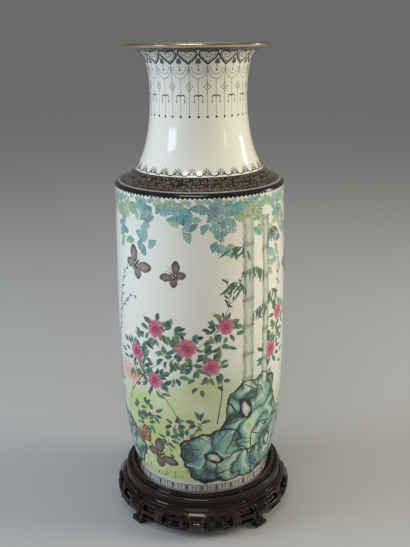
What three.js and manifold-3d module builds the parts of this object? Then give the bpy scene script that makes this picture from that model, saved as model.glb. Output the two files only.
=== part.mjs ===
// A baluster vase of glazed porcelain in a carved hardwood stand with four cabriole legs.
// Millimetres, +Z up, origin on the table under the middle of the stand, front at -Y.
import * as THREE from "three";
import { mergeVertices } from "three/addons/utils/BufferGeometryUtils.js";
import Module from "manifold-3d";

const wasm = await Module();
wasm.setup();

// Fits
const FIT_GAP = 0.3; // glue line, and the play between pieces that meet
const FLOOR_PLAY = 0.8; // room for the floor board to swell in its groove
const LEG_COUNT = 4;
const QUARTER = (2 * Math.PI) / LEG_COUNT;

// Vase, heights measured from its own foot
const VASE_HEIGHT = 602;
const WALL = 5.5;
const FOOT_RADIUS = 96.3;
const FOOT_BAND_HEIGHT = 13;
const FOOT_RING_WIDTH = 9;
const FOOT_RECESS = 6;
const BASE_THICKNESS = 7;
const BODY_RADIUS = 115.8;
const BODY_WIDEST_HEIGHT = 265;
const SHOULDER_RADIUS = 112.8;
const SHOULDER_HEIGHT = 422;
const SHOULDER_ROUND = 5;
const NECK_BASE_RADIUS = 85.5;
const NECK_BASE_HEIGHT = 444;
const NECK_RADIUS = 63.5;
const NECK_NARROW_HEIGHT = 536;
const MOUTH_RADIUS = 92.8;
const MOUTH_FLARE = 17.4; // how far the mouth's rim stands out past the top of the neck
const LIP_THICKNESS = 4.8;
const LATHE_SIDES = 40;

// Stand, heights measured from the table
const SEAT_HEIGHT = 52;
const SEAT_LIP_RISE = 10.4;
const SEAT_PLAY = 6.7; // gap between the vase's foot and the lip round it
const LIP_WIDTH = 4;
const LEDGE_DROP = 9.8; // from the seat down to the ledge
const LEDGE_THICKNESS = 2.2;
const LEDGE_WIDTH = 4; // flat step outside the torus
const TORUS_THICKNESS = 3.9; // radius of its round edge
const FLOOR_THICKNESS = 6;
const FLOOR_LET_IN = 3.2; // how far the floor board's edge goes into the groove
const FLANGE_WIDTH = 8.5; // the wood that carries the floor board and the ring's joints
const SPLINE_LENGTH = 18;
const SPLINE_WIDTH = 11;
const SPLINE_THICKNESS = 2.2;

const APRON_BOTTOM = 12;
const APRON_BULGE = 11; // how far the apron stands out past the ledge
const APRON_BULGE_HEIGHT = 25;
const APRON_TUCK = 5.5; // how far the lower edge is drawn in from the bulge
const APRON_THICKNESS = 9;
const CARVING_DEPTH = 3;
const LOBE_HALF_WIDTH = 21;
const LOBE_FRAME = 3; // wood left above and below the sunk field
const LOBE_ANGLE = THREE.MathUtils.degToRad(13.7);
const CLOUD_MARGIN = 3.6; // from the field's edge to the cloud head
const CLOUD_EYE_RADIUS = 2.7;
const SLOT_HALF_WIDTH = 11;
const SLOT_ANGLE = THREE.MathUtils.degToRad(33.2);
const SLOT_BAR = 4.6; // height of the bar between the upper and the lower slot
const SLOT_CORNER = 2.7;
const SCALLOP_RISE = 2.6; // how far the lower edge rises between its lobes

const LEG_WIDTH = 23;
const ANKLE_WIDTH = 13;
const FOOT_PAD_WIDTH = 18;
const FOOT_PAD_LENGTH = 13;
const FOOT_PAD_HEIGHT = 9;
const KNEE_PROUD = 2.5; // the knee and the toe, measured from the apron's bulge
const TOE_SET_BACK = 1.5;
const DOWEL_RADIUS = 2.5;
const DOWEL_LENGTH = 14;

const SEAT_LIP_TOP = SEAT_HEIGHT + SEAT_LIP_RISE;
const SEAT_INNER_RADIUS = FOOT_RADIUS + SEAT_PLAY;
const LIP_OUTER_RADIUS = SEAT_INNER_RADIUS + LIP_WIDTH;
const TORUS_RADIUS = LIP_OUTER_RADIUS + 3.8;
const LEDGE_RADIUS = TORUS_RADIUS + TORUS_THICKNESS + LEDGE_WIDTH - 0.7;
const LEDGE_HEIGHT = SEAT_HEIGHT - LEDGE_DROP;
const RING_BOTTOM = LEDGE_HEIGHT - LEDGE_THICKNESS;
const GROOVE_RADIUS = SEAT_INNER_RADIUS + FLOOR_LET_IN + FLOOR_PLAY;
const RING_INNER_RADIUS = GROOVE_RADIUS - FLANGE_WIDTH;
const APRON_BULGE_RADIUS = LEDGE_RADIUS + APRON_BULGE;
const KNEE_RADIUS = APRON_BULGE_RADIUS + KNEE_PROUD;
const TOE_RADIUS = APRON_BULGE_RADIUS - TOE_SET_BACK;
const LEG_TOP = RING_BOTTOM - FIT_GAP;
const DOWEL_CENTRE_RADIUS = GROOVE_RADIUS + DOWEL_RADIUS + FIT_GAP + 1.3;

const porcelain = new THREE.MeshStandardMaterial({ color: 0xe9e6da, roughness: 0.12, metalness: 0 });
const rosewood = new THREE.MeshStandardMaterial({ color: 0x34191a, roughness: 0.3, metalness: 0 });
const plainWood = new THREE.MeshStandardMaterial({ color: 0x5a3526, roughness: 0.6, metalness: 0 });

// Helpers between three.js geometries and solids
function toSolid(geometry) {
  const bare = geometry.clone();
  bare.deleteAttribute("normal");
  bare.deleteAttribute("uv");
  const merged = mergeVertices(bare, 1e-4);
  return new wasm.Manifold(
    new wasm.Mesh({
      numProp: 3,
      vertProperties: new Float32Array(merged.attributes.position.array),
      triVerts: new Uint32Array(merged.index.array),
    }),
  );
}

function toGeometry(solid) {
  const mesh = solid.getMesh();
  const geometry = new THREE.BufferGeometry();
  geometry.setAttribute("position", new THREE.BufferAttribute(mesh.vertProperties, 3));
  geometry.setIndex(new THREE.BufferAttribute(mesh.triVerts, 1));
  geometry.computeVertexNormals();
  return geometry;
}

// A profile of (radius, height) points, turned about Z from one angle to another and closed at both ends.
// Angle 0 is the front, and angles grow towards +X.
function sector(profile, from, to, steps) {
  const positions = [];
  for (let i = 0; i <= steps; i += 1) {
    const angle = from + ((to - from) * i) / steps;
    for (const point of profile) {
      positions.push(point.x * Math.sin(angle), -point.x * Math.cos(angle), point.y);
    }
  }
  const count = profile.length;
  const faces = [];
  for (let i = 0; i < steps; i += 1) {
    for (let j = 0; j < count; j += 1) {
      const next = (j + 1) % count;
      const a = i * count + j;
      const b = i * count + next;
      faces.push(a, a + count, b, b, a + count, b + count);
    }
  }
  const last = steps * count;
  for (const [a, b, c] of THREE.ShapeUtils.triangulateShape(profile, [])) {
    faces.push(a, b, c, last + a, last + c, last + b);
  }
  const geometry = new THREE.BufferGeometry();
  geometry.setAttribute("position", new THREE.Float32BufferAttribute(positions, 3));
  geometry.setIndex(faces);
  return geometry;
}

// An outline of (sideways, height) extruded outwards between two radii, facing the given angle.
function radialPrism(shape, innerRadius, outerRadius, angle = 0) {
  const geometry = new THREE.ExtrudeGeometry(shape, {
    depth: outerRadius - innerRadius,
    bevelEnabled: false,
    curveSegments: 3,
  });
  geometry.rotateX(Math.PI / 2);
  geometry.translate(0, -innerRadius, 0);
  geometry.rotateZ(angle);
  return toSolid(geometry);
}

// An outline of (radius, height) extruded sideways, centred on the front.
function sidewaysPrism(shape, width, curveSegments = 10) {
  const geometry = new THREE.ExtrudeGeometry(shape, { depth: width, bevelEnabled: false, curveSegments });
  geometry.translate(0, 0, -width / 2);
  const towardsFront = new THREE.Vector3(0, -1, 0);
  const up = new THREE.Vector3(0, 0, 1);
  const sideways = new THREE.Vector3(-1, 0, 0);
  geometry.applyMatrix4(new THREE.Matrix4().makeBasis(towardsFront, up, sideways));
  return toSolid(geometry);
}

function upright(radius, bottom, top, sides) {
  const geometry = new THREE.CylinderGeometry(radius, radius, top - bottom, sides);
  geometry.rotateX(Math.PI / 2);
  geometry.translate(0, 0, (top + bottom) / 2);
  return geometry;
}

function named(name, geometry, material, angle = 0) {
  const mesh = new THREE.Mesh(geometry, material);
  mesh.name = name;
  mesh.rotation.z = angle;
  return mesh;
}

// Vase
// The outside from the foot to the lip: a drawn-in foot, a nearly straight body, a sloping shoulder and a flared neck.
// With an inset it gives the inside of the wall, from the top of the base.
function vaseOutside(inset) {
  const outline = new THREE.Path();
  const bodyFoot = FOOT_RADIUS - inset;
  const shoulder = SHOULDER_RADIUS - inset;
  const neck = NECK_RADIUS - inset;
  const neckTop = MOUTH_RADIUS - MOUTH_FLARE - inset;
  if (inset) {
    const base = FOOT_RECESS + BASE_THICKNESS;
    outline.moveTo(bodyFoot - 12, base);
    outline.lineTo(bodyFoot, base + 10);
  } else {
    outline.moveTo(bodyFoot, 0);
    outline.lineTo(bodyFoot, FOOT_BAND_HEIGHT);
  }
  outline.bezierCurveTo(
    bodyFoot + 11.2, FOOT_BAND_HEIGHT + 32,
    BODY_RADIUS - 1 - inset, FOOT_BAND_HEIGHT + 95,
    BODY_RADIUS - inset, BODY_WIDEST_HEIGHT - 70,
  );
  outline.quadraticCurveTo(BODY_RADIUS + 1 - inset, BODY_WIDEST_HEIGHT + 10, shoulder, SHOULDER_HEIGHT);
  outline.quadraticCurveTo(
    shoulder, SHOULDER_HEIGHT + SHOULDER_ROUND + 1 - inset / 2,
    shoulder - SHOULDER_ROUND + inset / 2, SHOULDER_HEIGHT + SHOULDER_ROUND + 2.5 - inset,
  );
  outline.quadraticCurveTo(
    NECK_BASE_RADIUS + 8.5 - inset / 2, NECK_BASE_HEIGHT - 9.5 - inset,
    NECK_BASE_RADIUS - inset, NECK_BASE_HEIGHT - inset / 2,
  );
  outline.bezierCurveTo(
    NECK_BASE_RADIUS - 7.5 - inset, NECK_BASE_HEIGHT + 8.4,
    neck, NECK_NARROW_HEIGHT - 52,
    neck, NECK_NARROW_HEIGHT,
  );
  outline.bezierCurveTo(
    neck, NECK_NARROW_HEIGHT + 26,
    neck + 1, VASE_HEIGHT - 19,
    neckTop, VASE_HEIGHT - 11 + inset / 2,
  );
  const lipUnderside = VASE_HEIGHT - LIP_THICKNESS + 0.4;
  const rimEnd = inset ? VASE_HEIGHT - 0.4 : lipUnderside;
  outline.quadraticCurveTo(neckTop + 5.2, rimEnd - 0.8, MOUTH_RADIUS - LIP_THICKNESS / 2, rimEnd - (inset ? 0 : 0.3));
  return outline.getPoints(inset ? 2 : 4);
}

function vaseProfile() {
  const outside = vaseOutside(0);
  const inside = vaseOutside(WALL).reverse();
  const round = LIP_THICKNESS / 2;
  const lip = new THREE.Path();
  lip.absarc(MOUTH_RADIUS - round, VASE_HEIGHT - round, round, -1.3, 1.4);
  const footRing = FOOT_RADIUS - FOOT_RING_WIDTH;
  return [
    new THREE.Vector2(0, FOOT_RECESS),
    new THREE.Vector2(footRing - 3, FOOT_RECESS),
    new THREE.Vector2(footRing, 0),
    ...outside.slice(0, -1),
    ...lip.getPoints(3),
    ...inside.slice(1),
    new THREE.Vector2(0, FOOT_RECESS + BASE_THICKNESS),
  ];
}

function vaseBody() {
  const geometry = new THREE.LatheGeometry(vaseProfile(), LATHE_SIDES);
  geometry.rotateX(Math.PI / 2);
  geometry.translate(0, 0, SEAT_HEIGHT + FIT_GAP);
  return named("vase_body", geometry, porcelain);
}

// Stand
// The moulded ring: a ledge, a hollow, a torus and a raised lip outside, and a groove for the floor board inside.
function ringProfile() {
  const torusHeight = SEAT_HEIGHT + 1.2;
  const edge = LEDGE_THICKNESS / 2;
  const outline = new THREE.Path();
  outline.moveTo(RING_INNER_RADIUS, RING_BOTTOM);
  outline.lineTo(LEDGE_RADIUS - edge, RING_BOTTOM);
  outline.absarc(LEDGE_RADIUS - edge, RING_BOTTOM + edge, edge, -Math.PI / 2, Math.PI / 2);
  outline.quadraticCurveTo(TORUS_RADIUS + 1.5, LEDGE_HEIGHT + 0.6, TORUS_RADIUS + 1, torusHeight - TORUS_THICKNESS);
  outline.absarc(TORUS_RADIUS, torusHeight, TORUS_THICKNESS, -1.1, 1.75);
  outline.lineTo(LIP_OUTER_RADIUS, SEAT_LIP_TOP - 3.5);
  outline.absarc(LIP_OUTER_RADIUS - 1.2, SEAT_LIP_TOP - 1.2, 1.2, 0, Math.PI / 2);
  outline.absarc(SEAT_INNER_RADIUS + 1, SEAT_LIP_TOP - 1, 1, Math.PI / 2, Math.PI);
  outline.lineTo(SEAT_INNER_RADIUS, SEAT_HEIGHT + FIT_GAP);
  outline.lineTo(GROOVE_RADIUS, SEAT_HEIGHT + FIT_GAP);
  outline.lineTo(GROOVE_RADIUS, SEAT_HEIGHT - FLOOR_THICKNESS - FIT_GAP);
  outline.lineTo(RING_INNER_RADIUS, SEAT_HEIGHT - FLOOR_THICKNESS - FIT_GAP);
  return outline.getPoints(2);
}

function splineBox(play) {
  const box = new THREE.BoxGeometry(SPLINE_LENGTH + 2 * play, SPLINE_WIDTH + 2 * play, SPLINE_THICKNESS + 2 * play);
  const flangeTop = SEAT_HEIGHT - FLOOR_THICKNESS - FIT_GAP;
  box.translate(0, -(RING_INNER_RADIUS + GROOVE_RADIUS) / 2 - 3, (RING_BOTTOM + flangeTop) / 2);
  return box;
}

// One of the arcs that make up the ring, with a leg below its middle and half a spline's pocket in each end.
function ringSegment() {
  const halfGlue = FIT_GAP / 2 / LEDGE_RADIUS;
  let arc = toSolid(sector(ringProfile(), -QUARTER / 2 + halfGlue, QUARTER / 2 - halfGlue, 8));
  for (const side of [-1, 1]) {
    arc = arc.subtract(toSolid(splineBox(FIT_GAP).rotateZ((side * QUARTER) / 2)));
  }
  return toGeometry(arc.subtract(toSolid(dowelCylinder(FIT_GAP))));
}

function dowelCylinder(play) {
  const middle = RING_BOTTOM - 2;
  const half = DOWEL_LENGTH / 2 + play;
  return upright(DOWEL_RADIUS + play, middle - half, middle + half, 12).translate(0, -DOWEL_CENTRE_RADIUS, 0);
}

function floorBoard() {
  const top = SEAT_HEIGHT;
  const board = upright(SEAT_INNER_RADIUS + FLOOR_LET_IN, top - FLOOR_THICKNESS, top, 64);
  return named("floor_board", board, plainWood);
}

// A leg seen from the side: an outward knee, a drawn-in ankle and a toe that turns out.
function legSide() {
  const inner = RING_INNER_RADIUS + 3;
  const heel = TOE_RADIUS - FOOT_PAD_LENGTH;
  const shape = new THREE.Shape();
  shape.moveTo(inner, LEG_TOP);
  shape.quadraticCurveTo(heel - 3, APRON_BULGE_HEIGHT, heel - 1.5, APRON_BOTTOM);
  shape.quadraticCurveTo(heel - 1, 4, heel, 0);
  shape.lineTo(TOE_RADIUS - 3.5, 0);
  shape.quadraticCurveTo(TOE_RADIUS + 0.5, 1, TOE_RADIUS, FOOT_PAD_HEIGHT / 2);
  shape.quadraticCurveTo(TOE_RADIUS - 1, FOOT_PAD_HEIGHT - 1, TOE_RADIUS - 4, FOOT_PAD_HEIGHT + 1);
  shape.bezierCurveTo(
    TOE_RADIUS - 6.5, FOOT_PAD_HEIGHT + 4,
    KNEE_RADIUS + 1, APRON_BULGE_HEIGHT - 8,
    KNEE_RADIUS, APRON_BULGE_HEIGHT + 1,
  );
  shape.quadraticCurveTo(KNEE_RADIUS - 1, LEG_TOP - 3, LEDGE_RADIUS + 2, LEG_TOP);
  return shape;
}

// A leg seen from the front, symmetric about its middle.
function legFront() {
  const knee = LEG_WIDTH / 2;
  const ankle = ANKLE_WIDTH / 2;
  const pad = FOOT_PAD_WIDTH / 2;
  const ankleHeight = FOOT_PAD_HEIGHT + 5;
  const shape = new THREE.Shape();
  shape.moveTo(-pad + 1.5, 0);
  shape.lineTo(pad - 1.5, 0);
  shape.quadraticCurveTo(pad + 1, 3, pad - 1, FOOT_PAD_HEIGHT - 2);
  shape.quadraticCurveTo(ankle, FOOT_PAD_HEIGHT + 1, ankle, ankleHeight);
  shape.quadraticCurveTo(ankle + 1, APRON_BULGE_HEIGHT - 3, knee, APRON_BULGE_HEIGHT + 2);
  shape.lineTo(knee, LEG_TOP);
  shape.lineTo(-knee, LEG_TOP);
  shape.lineTo(-knee, APRON_BULGE_HEIGHT + 2);
  shape.quadraticCurveTo(-ankle - 1, APRON_BULGE_HEIGHT - 3, -ankle, ankleHeight);
  shape.quadraticCurveTo(-ankle, FOOT_PAD_HEIGHT + 1, -pad + 1, FOOT_PAD_HEIGHT - 2);
  shape.quadraticCurveTo(-pad - 1, 3, -pad + 1.5, 0);
  return shape;
}

function legSolid() {
  const side = sidewaysPrism(legSide(), LEG_WIDTH + 4, 7);
  const front = radialPrism(legFront(), RING_INNER_RADIUS - 2, KNEE_RADIUS + 5);
  return toGeometry(side.intersect(front).subtract(toSolid(dowelCylinder(FIT_GAP))));
}

// The apron's outer face, bulging between the ring and the lower edge, set back by the depth given.
function apronFace(setBack) {
  const bulge = APRON_BULGE_RADIUS - setBack;
  const face = new THREE.Path();
  face.moveTo(bulge - APRON_TUCK, APRON_BOTTOM);
  face.quadraticCurveTo(bulge + 0.6, (APRON_BOTTOM + APRON_BULGE_HEIGHT) / 2, bulge, APRON_BULGE_HEIGHT);
  face.quadraticCurveTo(bulge - 1, LEG_TOP - 4, LEDGE_RADIUS + 1 - setBack, LEG_TOP);
  return face.getPoints(2);
}

function apronSection() {
  const inner = apronFace(APRON_THICKNESS).filter((point, index) => index % 2 === 0);
  return [...apronFace(0), ...inner.reverse()];
}

// Everything within the outer face set back by the depth given: what the carver leaves standing.
function apronGround(setBack) {
  const core = RING_INNER_RADIUS / 2;
  const face = apronFace(setBack);
  return [new THREE.Vector2(core, APRON_BOTTOM), ...face, new THREE.Vector2(core, LEG_TOP)];
}

// The round-ended field that is sunk on each side of the apron's middle.
function lobeOutline() {
  const half = LOBE_HALF_WIDTH;
  const top = LEG_TOP - LOBE_FRAME;
  const bottom = APRON_BOTTOM + LOBE_FRAME;
  const middle = (top + bottom) / 2;
  const shape = new THREE.Shape();
  shape.moveTo(-half, middle);
  shape.quadraticCurveTo(-half, bottom, -half * 0.5, bottom);
  shape.lineTo(half * 0.5, bottom);
  shape.quadraticCurveTo(half, bottom, half, middle);
  shape.quadraticCurveTo(half, top, half * 0.45, top);
  shape.lineTo(-half * 0.45, top);
  shape.quadraticCurveTo(-half, top, -half, middle);
  return shape;
}

// A pierced window in the upper half of the field, over a cloud head with two curls.
function windowOutline() {
  const half = LOBE_HALF_WIDTH - CLOUD_MARGIN / 2;
  const top = LEG_TOP - LOBE_FRAME - 1.2;
  const sill = APRON_BULGE_HEIGHT - 1;
  const crest = (sill + top) / 2 + 1;
  const shape = new THREE.Shape();
  shape.moveTo(-half, sill + 1);
  shape.quadraticCurveTo(-half * 0.5, crest + 2, 0, sill);
  shape.quadraticCurveTo(half * 0.5, crest + 2, half, sill + 1);
  shape.quadraticCurveTo(half + 0.5, top, half * 0.4, top);
  shape.lineTo(-half * 0.4, top);
  shape.quadraticCurveTo(-half - 0.5, top, -half, sill + 1);
  return shape;
}

// The cloud head below the window: two curls side by side, each with a sunk eye.
function cloudOutline() {
  const half = LOBE_HALF_WIDTH - CLOUD_MARGIN;
  const base = APRON_BOTTOM + LOBE_FRAME + 1.5;
  const curl = APRON_BULGE_HEIGHT - 2;
  const shape = new THREE.Shape();
  shape.moveTo(-half * 0.8, base);
  shape.lineTo(half * 0.8, base);
  shape.quadraticCurveTo(half + 1.5, base + 3, half, curl);
  shape.quadraticCurveTo(half * 0.5, curl + 9, 0, curl + 0.5);
  shape.quadraticCurveTo(-half * 0.5, curl + 9, -half, curl);
  shape.quadraticCurveTo(-half - 1.5, base + 3, -half * 0.8, base);
  for (const side of [-1, 1]) {
    const eye = new THREE.Path();
    eye.absarc((side * half) / 2, curl - 1.5, CLOUD_EYE_RADIUS, 0, 2 * Math.PI, true);
    shape.holes.push(eye);
  }
  return shape;
}

// A slot beside the leg, with rounded corners.
function slotOutline(bottom, top) {
  const corner = Math.min(SLOT_CORNER, (top - bottom) / 2.2);
  const right = SLOT_HALF_WIDTH - corner;
  const low = bottom + corner;
  const high = top - corner;
  const shape = new THREE.Shape();
  shape.absarc(right, low, corner, -Math.PI / 2, 0);
  shape.absarc(right, high, corner, 0, Math.PI / 2);
  shape.absarc(-right, high, corner, Math.PI / 2, Math.PI);
  shape.absarc(-right, low, corner, Math.PI, 1.5 * Math.PI);
  return shape;
}

// The scallops that the apron's lower edge is cut to.
function edgeScallop(halfWidth, height) {
  const shape = new THREE.Shape();
  shape.moveTo(-halfWidth, APRON_BOTTOM - 5);
  shape.lineTo(halfWidth, APRON_BOTTOM - 5);
  shape.lineTo(halfWidth, APRON_BOTTOM);
  shape.quadraticCurveTo(0, APRON_BOTTOM + 2 * height, -halfWidth, APRON_BOTTOM);
  return shape;
}

function apronPanel() {
  const reach = QUARTER / 2;
  const innerCut = RING_INNER_RADIUS;
  const outerCut = KNEE_RADIUS + 10;
  const slotTop = LEG_TOP - LOBE_FRAME + 0.5;
  const slotBottom = APRON_BOTTOM + LOBE_FRAME + 0.5;
  const barMiddle = (slotTop + slotBottom) / 2;
  const betweenLobes = (LOBE_ANGLE + SLOT_ANGLE) * 0.53;
  const turned = (profile) => toSolid(sector(profile, -reach, reach, 8));
  const cut = (shape, angle) => radialPrism(shape, innerCut, outerCut, angle);
  const ground = turned(apronGround(CARVING_DEPTH));
  const cloudGround = turned(apronGround(CARVING_DEPTH / 2));
  let panel = turned(apronSection());
  for (const side of [-1, 1]) {
    const cloud = cut(cloudOutline(), side * LOBE_ANGLE).intersect(cloudGround);
    const field = cut(lobeOutline(), side * LOBE_ANGLE).subtract(ground).subtract(cloud);
    const leg = new THREE.BoxGeometry(LEG_WIDTH + 2 * FIT_GAP, outerCut - innerCut, LEG_TOP);
    leg.translate(0, -(innerCut + outerCut) / 2, LEG_TOP / 2 + 1);
    panel = panel
      .subtract(field)
      .subtract(cut(windowOutline(), side * LOBE_ANGLE))
      .subtract(cut(slotOutline(barMiddle + SLOT_BAR / 2, slotTop), side * SLOT_ANGLE))
      .subtract(cut(slotOutline(slotBottom, barMiddle - SLOT_BAR / 2), side * SLOT_ANGLE))
      .subtract(cut(edgeScallop(9, SCALLOP_RISE), side * betweenLobes))
      .subtract(toSolid(leg.rotateZ(side * reach)));
  }
  return toGeometry(panel.subtract(cut(edgeScallop(6, SCALLOP_RISE / 1.6), 0)));
}

const stand = new THREE.Group();
const segment = ringSegment();
const leg = legSolid();
const apron = apronPanel();
for (let i = 0; i < LEG_COUNT; i += 1) {
  const number = i + 1;
  const panelAngle = i * QUARTER;
  const legAngle = panelAngle + QUARTER / 2;
  stand.add(named(`ring_segment_${number}`, segment, rosewood, legAngle));
  stand.add(named(`ring_spline_${number}`, splineBox(0), plainWood, panelAngle));
  stand.add(named(`apron_panel_${number}`, apron, rosewood, panelAngle));
  stand.add(named(`leg_${number}`, leg, rosewood, legAngle));
  stand.add(named(`leg_dowel_${number}`, dowelCylinder(0), plainWood, legAngle));
}
stand.add(floorBoard());

const object = new THREE.Group();
object.add(stand);
object.add(vaseBody());

export default object;
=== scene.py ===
import math
import random
from bisect import bisect_right

import bpy
from mathutils import Matrix, Vector, noise


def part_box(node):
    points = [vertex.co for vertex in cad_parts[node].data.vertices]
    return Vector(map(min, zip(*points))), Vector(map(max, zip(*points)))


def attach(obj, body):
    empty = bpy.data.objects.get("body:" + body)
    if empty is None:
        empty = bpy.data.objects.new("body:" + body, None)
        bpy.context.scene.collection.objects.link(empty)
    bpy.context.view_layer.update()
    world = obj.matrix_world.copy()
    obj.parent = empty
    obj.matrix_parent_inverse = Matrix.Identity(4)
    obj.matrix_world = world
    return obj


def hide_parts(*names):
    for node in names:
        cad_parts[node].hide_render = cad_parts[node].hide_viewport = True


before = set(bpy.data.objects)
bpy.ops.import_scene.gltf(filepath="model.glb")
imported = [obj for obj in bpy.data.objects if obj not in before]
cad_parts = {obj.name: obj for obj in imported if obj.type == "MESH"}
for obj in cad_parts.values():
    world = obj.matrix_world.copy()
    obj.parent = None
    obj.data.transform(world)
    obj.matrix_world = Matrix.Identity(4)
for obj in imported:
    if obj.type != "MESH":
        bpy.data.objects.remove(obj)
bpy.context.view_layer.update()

bl_info = {
    "name": "Painted Baluster Vase",
    "version": (1, 0, 0),
    "blender": (4, 5, 0),
    "location": "View3D > Sidebar > Vase",
    "description": "Makes a painted porcelain vase and the carved hardwood stand that it stands in",
    "category": "Add Mesh",
}

MM = 0.001
WAY_ROUND = 728  # the way round the body, in millimetres
FULL_TURN = 2 * math.pi
QUARTER = math.pi / 2
# Angles run from the stand's front panel, at -Y, towards +X. The camera looks from a little to its right.
VIEW_ANGLE = math.radians(4.5)

# The vase, in millimetres above its own foot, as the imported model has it
VASE_LOW, VASE_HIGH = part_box("vase_body")
FOOT_Z = VASE_LOW.z
VASE_HEIGHT = (VASE_HIGH.z - VASE_LOW.z) / MM
WALL = 5.5
FOOT_RADIUS = 96.3
FOOT_BAND_HEIGHT = 13
FOOT_RING_WIDTH = 9
FOOT_RECESS = 6
BASE_THICKNESS = 7
BODY_RADIUS = 115.8
BODY_WIDEST_HEIGHT = 265
SHOULDER_RADIUS = 112.8
SHOULDER_HEIGHT = 422
SHOULDER_ROUND = 5
NECK_BASE_RADIUS = 85.5
NECK_BASE_HEIGHT = 444
NECK_RADIUS = 63.5
NECK_NARROW_HEIGHT = 536
MOUTH_RADIUS = 92.8
MOUTH_FLARE = 17.4
LIP_THICKNESS = 4.8
TURNED_STEPS = 256

# The stand, in millimetres above the table
RING_LOW, RING_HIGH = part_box("ring_segment_1")
LEDGE_RADIUS = 118
RING_BOTTOM = RING_LOW.z / MM
SEAT_LIP_TOP = RING_HIGH.z / MM
APRON_LOW, APRON_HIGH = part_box("apron_panel_1")
APRON_BOTTOM = APRON_LOW.z / MM
APRON_TOP = APRON_HIGH.z / MM
APRON_BULGE_RADIUS = -APRON_LOW.y / MM
APRON_BULGE_HEIGHT = 25
APRON_TUCK = 5.5
SEAT_INNER_RADIUS = 103
SEAT_TOP = 52.3
GROOVE_RADIUS = 107
GROOVE_BOTTOM = 45.7
RING_INNER_RADIUS = 98.5

# Paint on the glaze
PAINT_LIFT = 0.16 * MM
PAINT_EDGE = -0.06 * MM


def rgb(red, green, blue):
    """A colour as a paint chart gives it, 0 to 255, turned into light values."""
    return tuple((c / 255 / 12.92) if c < 11 else ((c / 255 + 0.055) / 1.055) ** 2.4
                 for c in (red, green, blue))


def mix(a, b, share):
    share = min(max(share, 0), 1)
    return tuple(x + (y - x) * share for x, y in zip(a, b))


def bezier(points, steps):
    """Points along a Bezier curve, without its first one."""
    result = []
    for i in range(1, steps + 1):
        level = [Vector(point) for point in points]
        while len(level) > 1:
            level = [a.lerp(b, i / steps) for a, b in zip(level, level[1:])]
        result.append(level[0])
    return result


def arc(centre, radius, start, end, steps):
    """Points round part of a circle, both ends included. Angles are in degrees."""
    angles = [math.radians(start + (end - start) * i / steps) for i in range(steps + 1)]
    return [Vector((centre[0] + radius * math.cos(a), centre[1] + radius * math.sin(a))) for a in angles]


# Shapes of the vase
def vase_wall(inset, steps):
    """The wall below the lip as (radius, height) in millimetres. An inset gives its inner face."""
    foot = FOOT_RADIUS - inset
    shoulder = SHOULDER_RADIUS - inset
    neck = NECK_RADIUS - inset
    neck_top = (MOUTH_RADIUS - MOUTH_FLARE - inset, VASE_HEIGHT - 11 + inset / 2)
    base = FOOT_RECESS + BASE_THICKNESS if inset else 0
    if inset:
        start = [Vector((foot - 12, base)),
                 *bezier([(foot - 12, base), (foot - 2, base), (foot, base + 10)], steps)]
    else:
        start = [Vector((foot - 1, 0)), Vector((foot - 0.3, 0.3)), Vector((foot, 1)),
                 Vector((foot, FOOT_BAND_HEIGHT))]
    body = bezier([
        start[-1], (foot + 11.2, FOOT_BAND_HEIGHT + 32), (BODY_RADIUS - 1 - inset, FOOT_BAND_HEIGHT + 95),
        (BODY_RADIUS - inset, BODY_WIDEST_HEIGHT - 70)], steps)
    upper = bezier([body[-1], (BODY_RADIUS + 1 - inset, BODY_WIDEST_HEIGHT + 10),
                    (shoulder, SHOULDER_HEIGHT)], steps)
    crease = bezier([
        upper[-1], (shoulder, SHOULDER_HEIGHT + SHOULDER_ROUND + 1 - inset / 2),
        (shoulder - SHOULDER_ROUND + inset / 2, SHOULDER_HEIGHT + SHOULDER_ROUND + 2.5 - inset)], steps)
    slope = bezier([
        crease[-1], (NECK_BASE_RADIUS + 8.5 - inset / 2, NECK_BASE_HEIGHT - 9.5 - inset),
        (NECK_BASE_RADIUS - inset, NECK_BASE_HEIGHT - inset / 2)], steps)
    lower_neck = bezier([
        slope[-1], (NECK_BASE_RADIUS - 7.5 - inset, NECK_BASE_HEIGHT + 8.4),
        (neck, NECK_NARROW_HEIGHT - 52), (neck, NECK_NARROW_HEIGHT)], steps)
    upper_neck = bezier([
        lower_neck[-1], (neck, NECK_NARROW_HEIGHT + 26), (neck + 1, VASE_HEIGHT - 19), neck_top], steps)
    rim_end = VASE_HEIGHT - (0.4 if inset else LIP_THICKNESS - 0.4)
    flare = bezier([
        neck_top, (neck_top[0] + 5.2, rim_end - 0.8),
        (MOUTH_RADIUS - LIP_THICKNESS / 2, rim_end - (0 if inset else 0.3))], steps)
    return [*start, *body, *upper, *crease, *slope, *lower_neck, *upper_neck, *flare]


def toward(heading):
    """The direction on the unrolled skin at an angle from straight up, turning to the right."""
    return Vector((math.sin(heading), math.cos(heading)))


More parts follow.
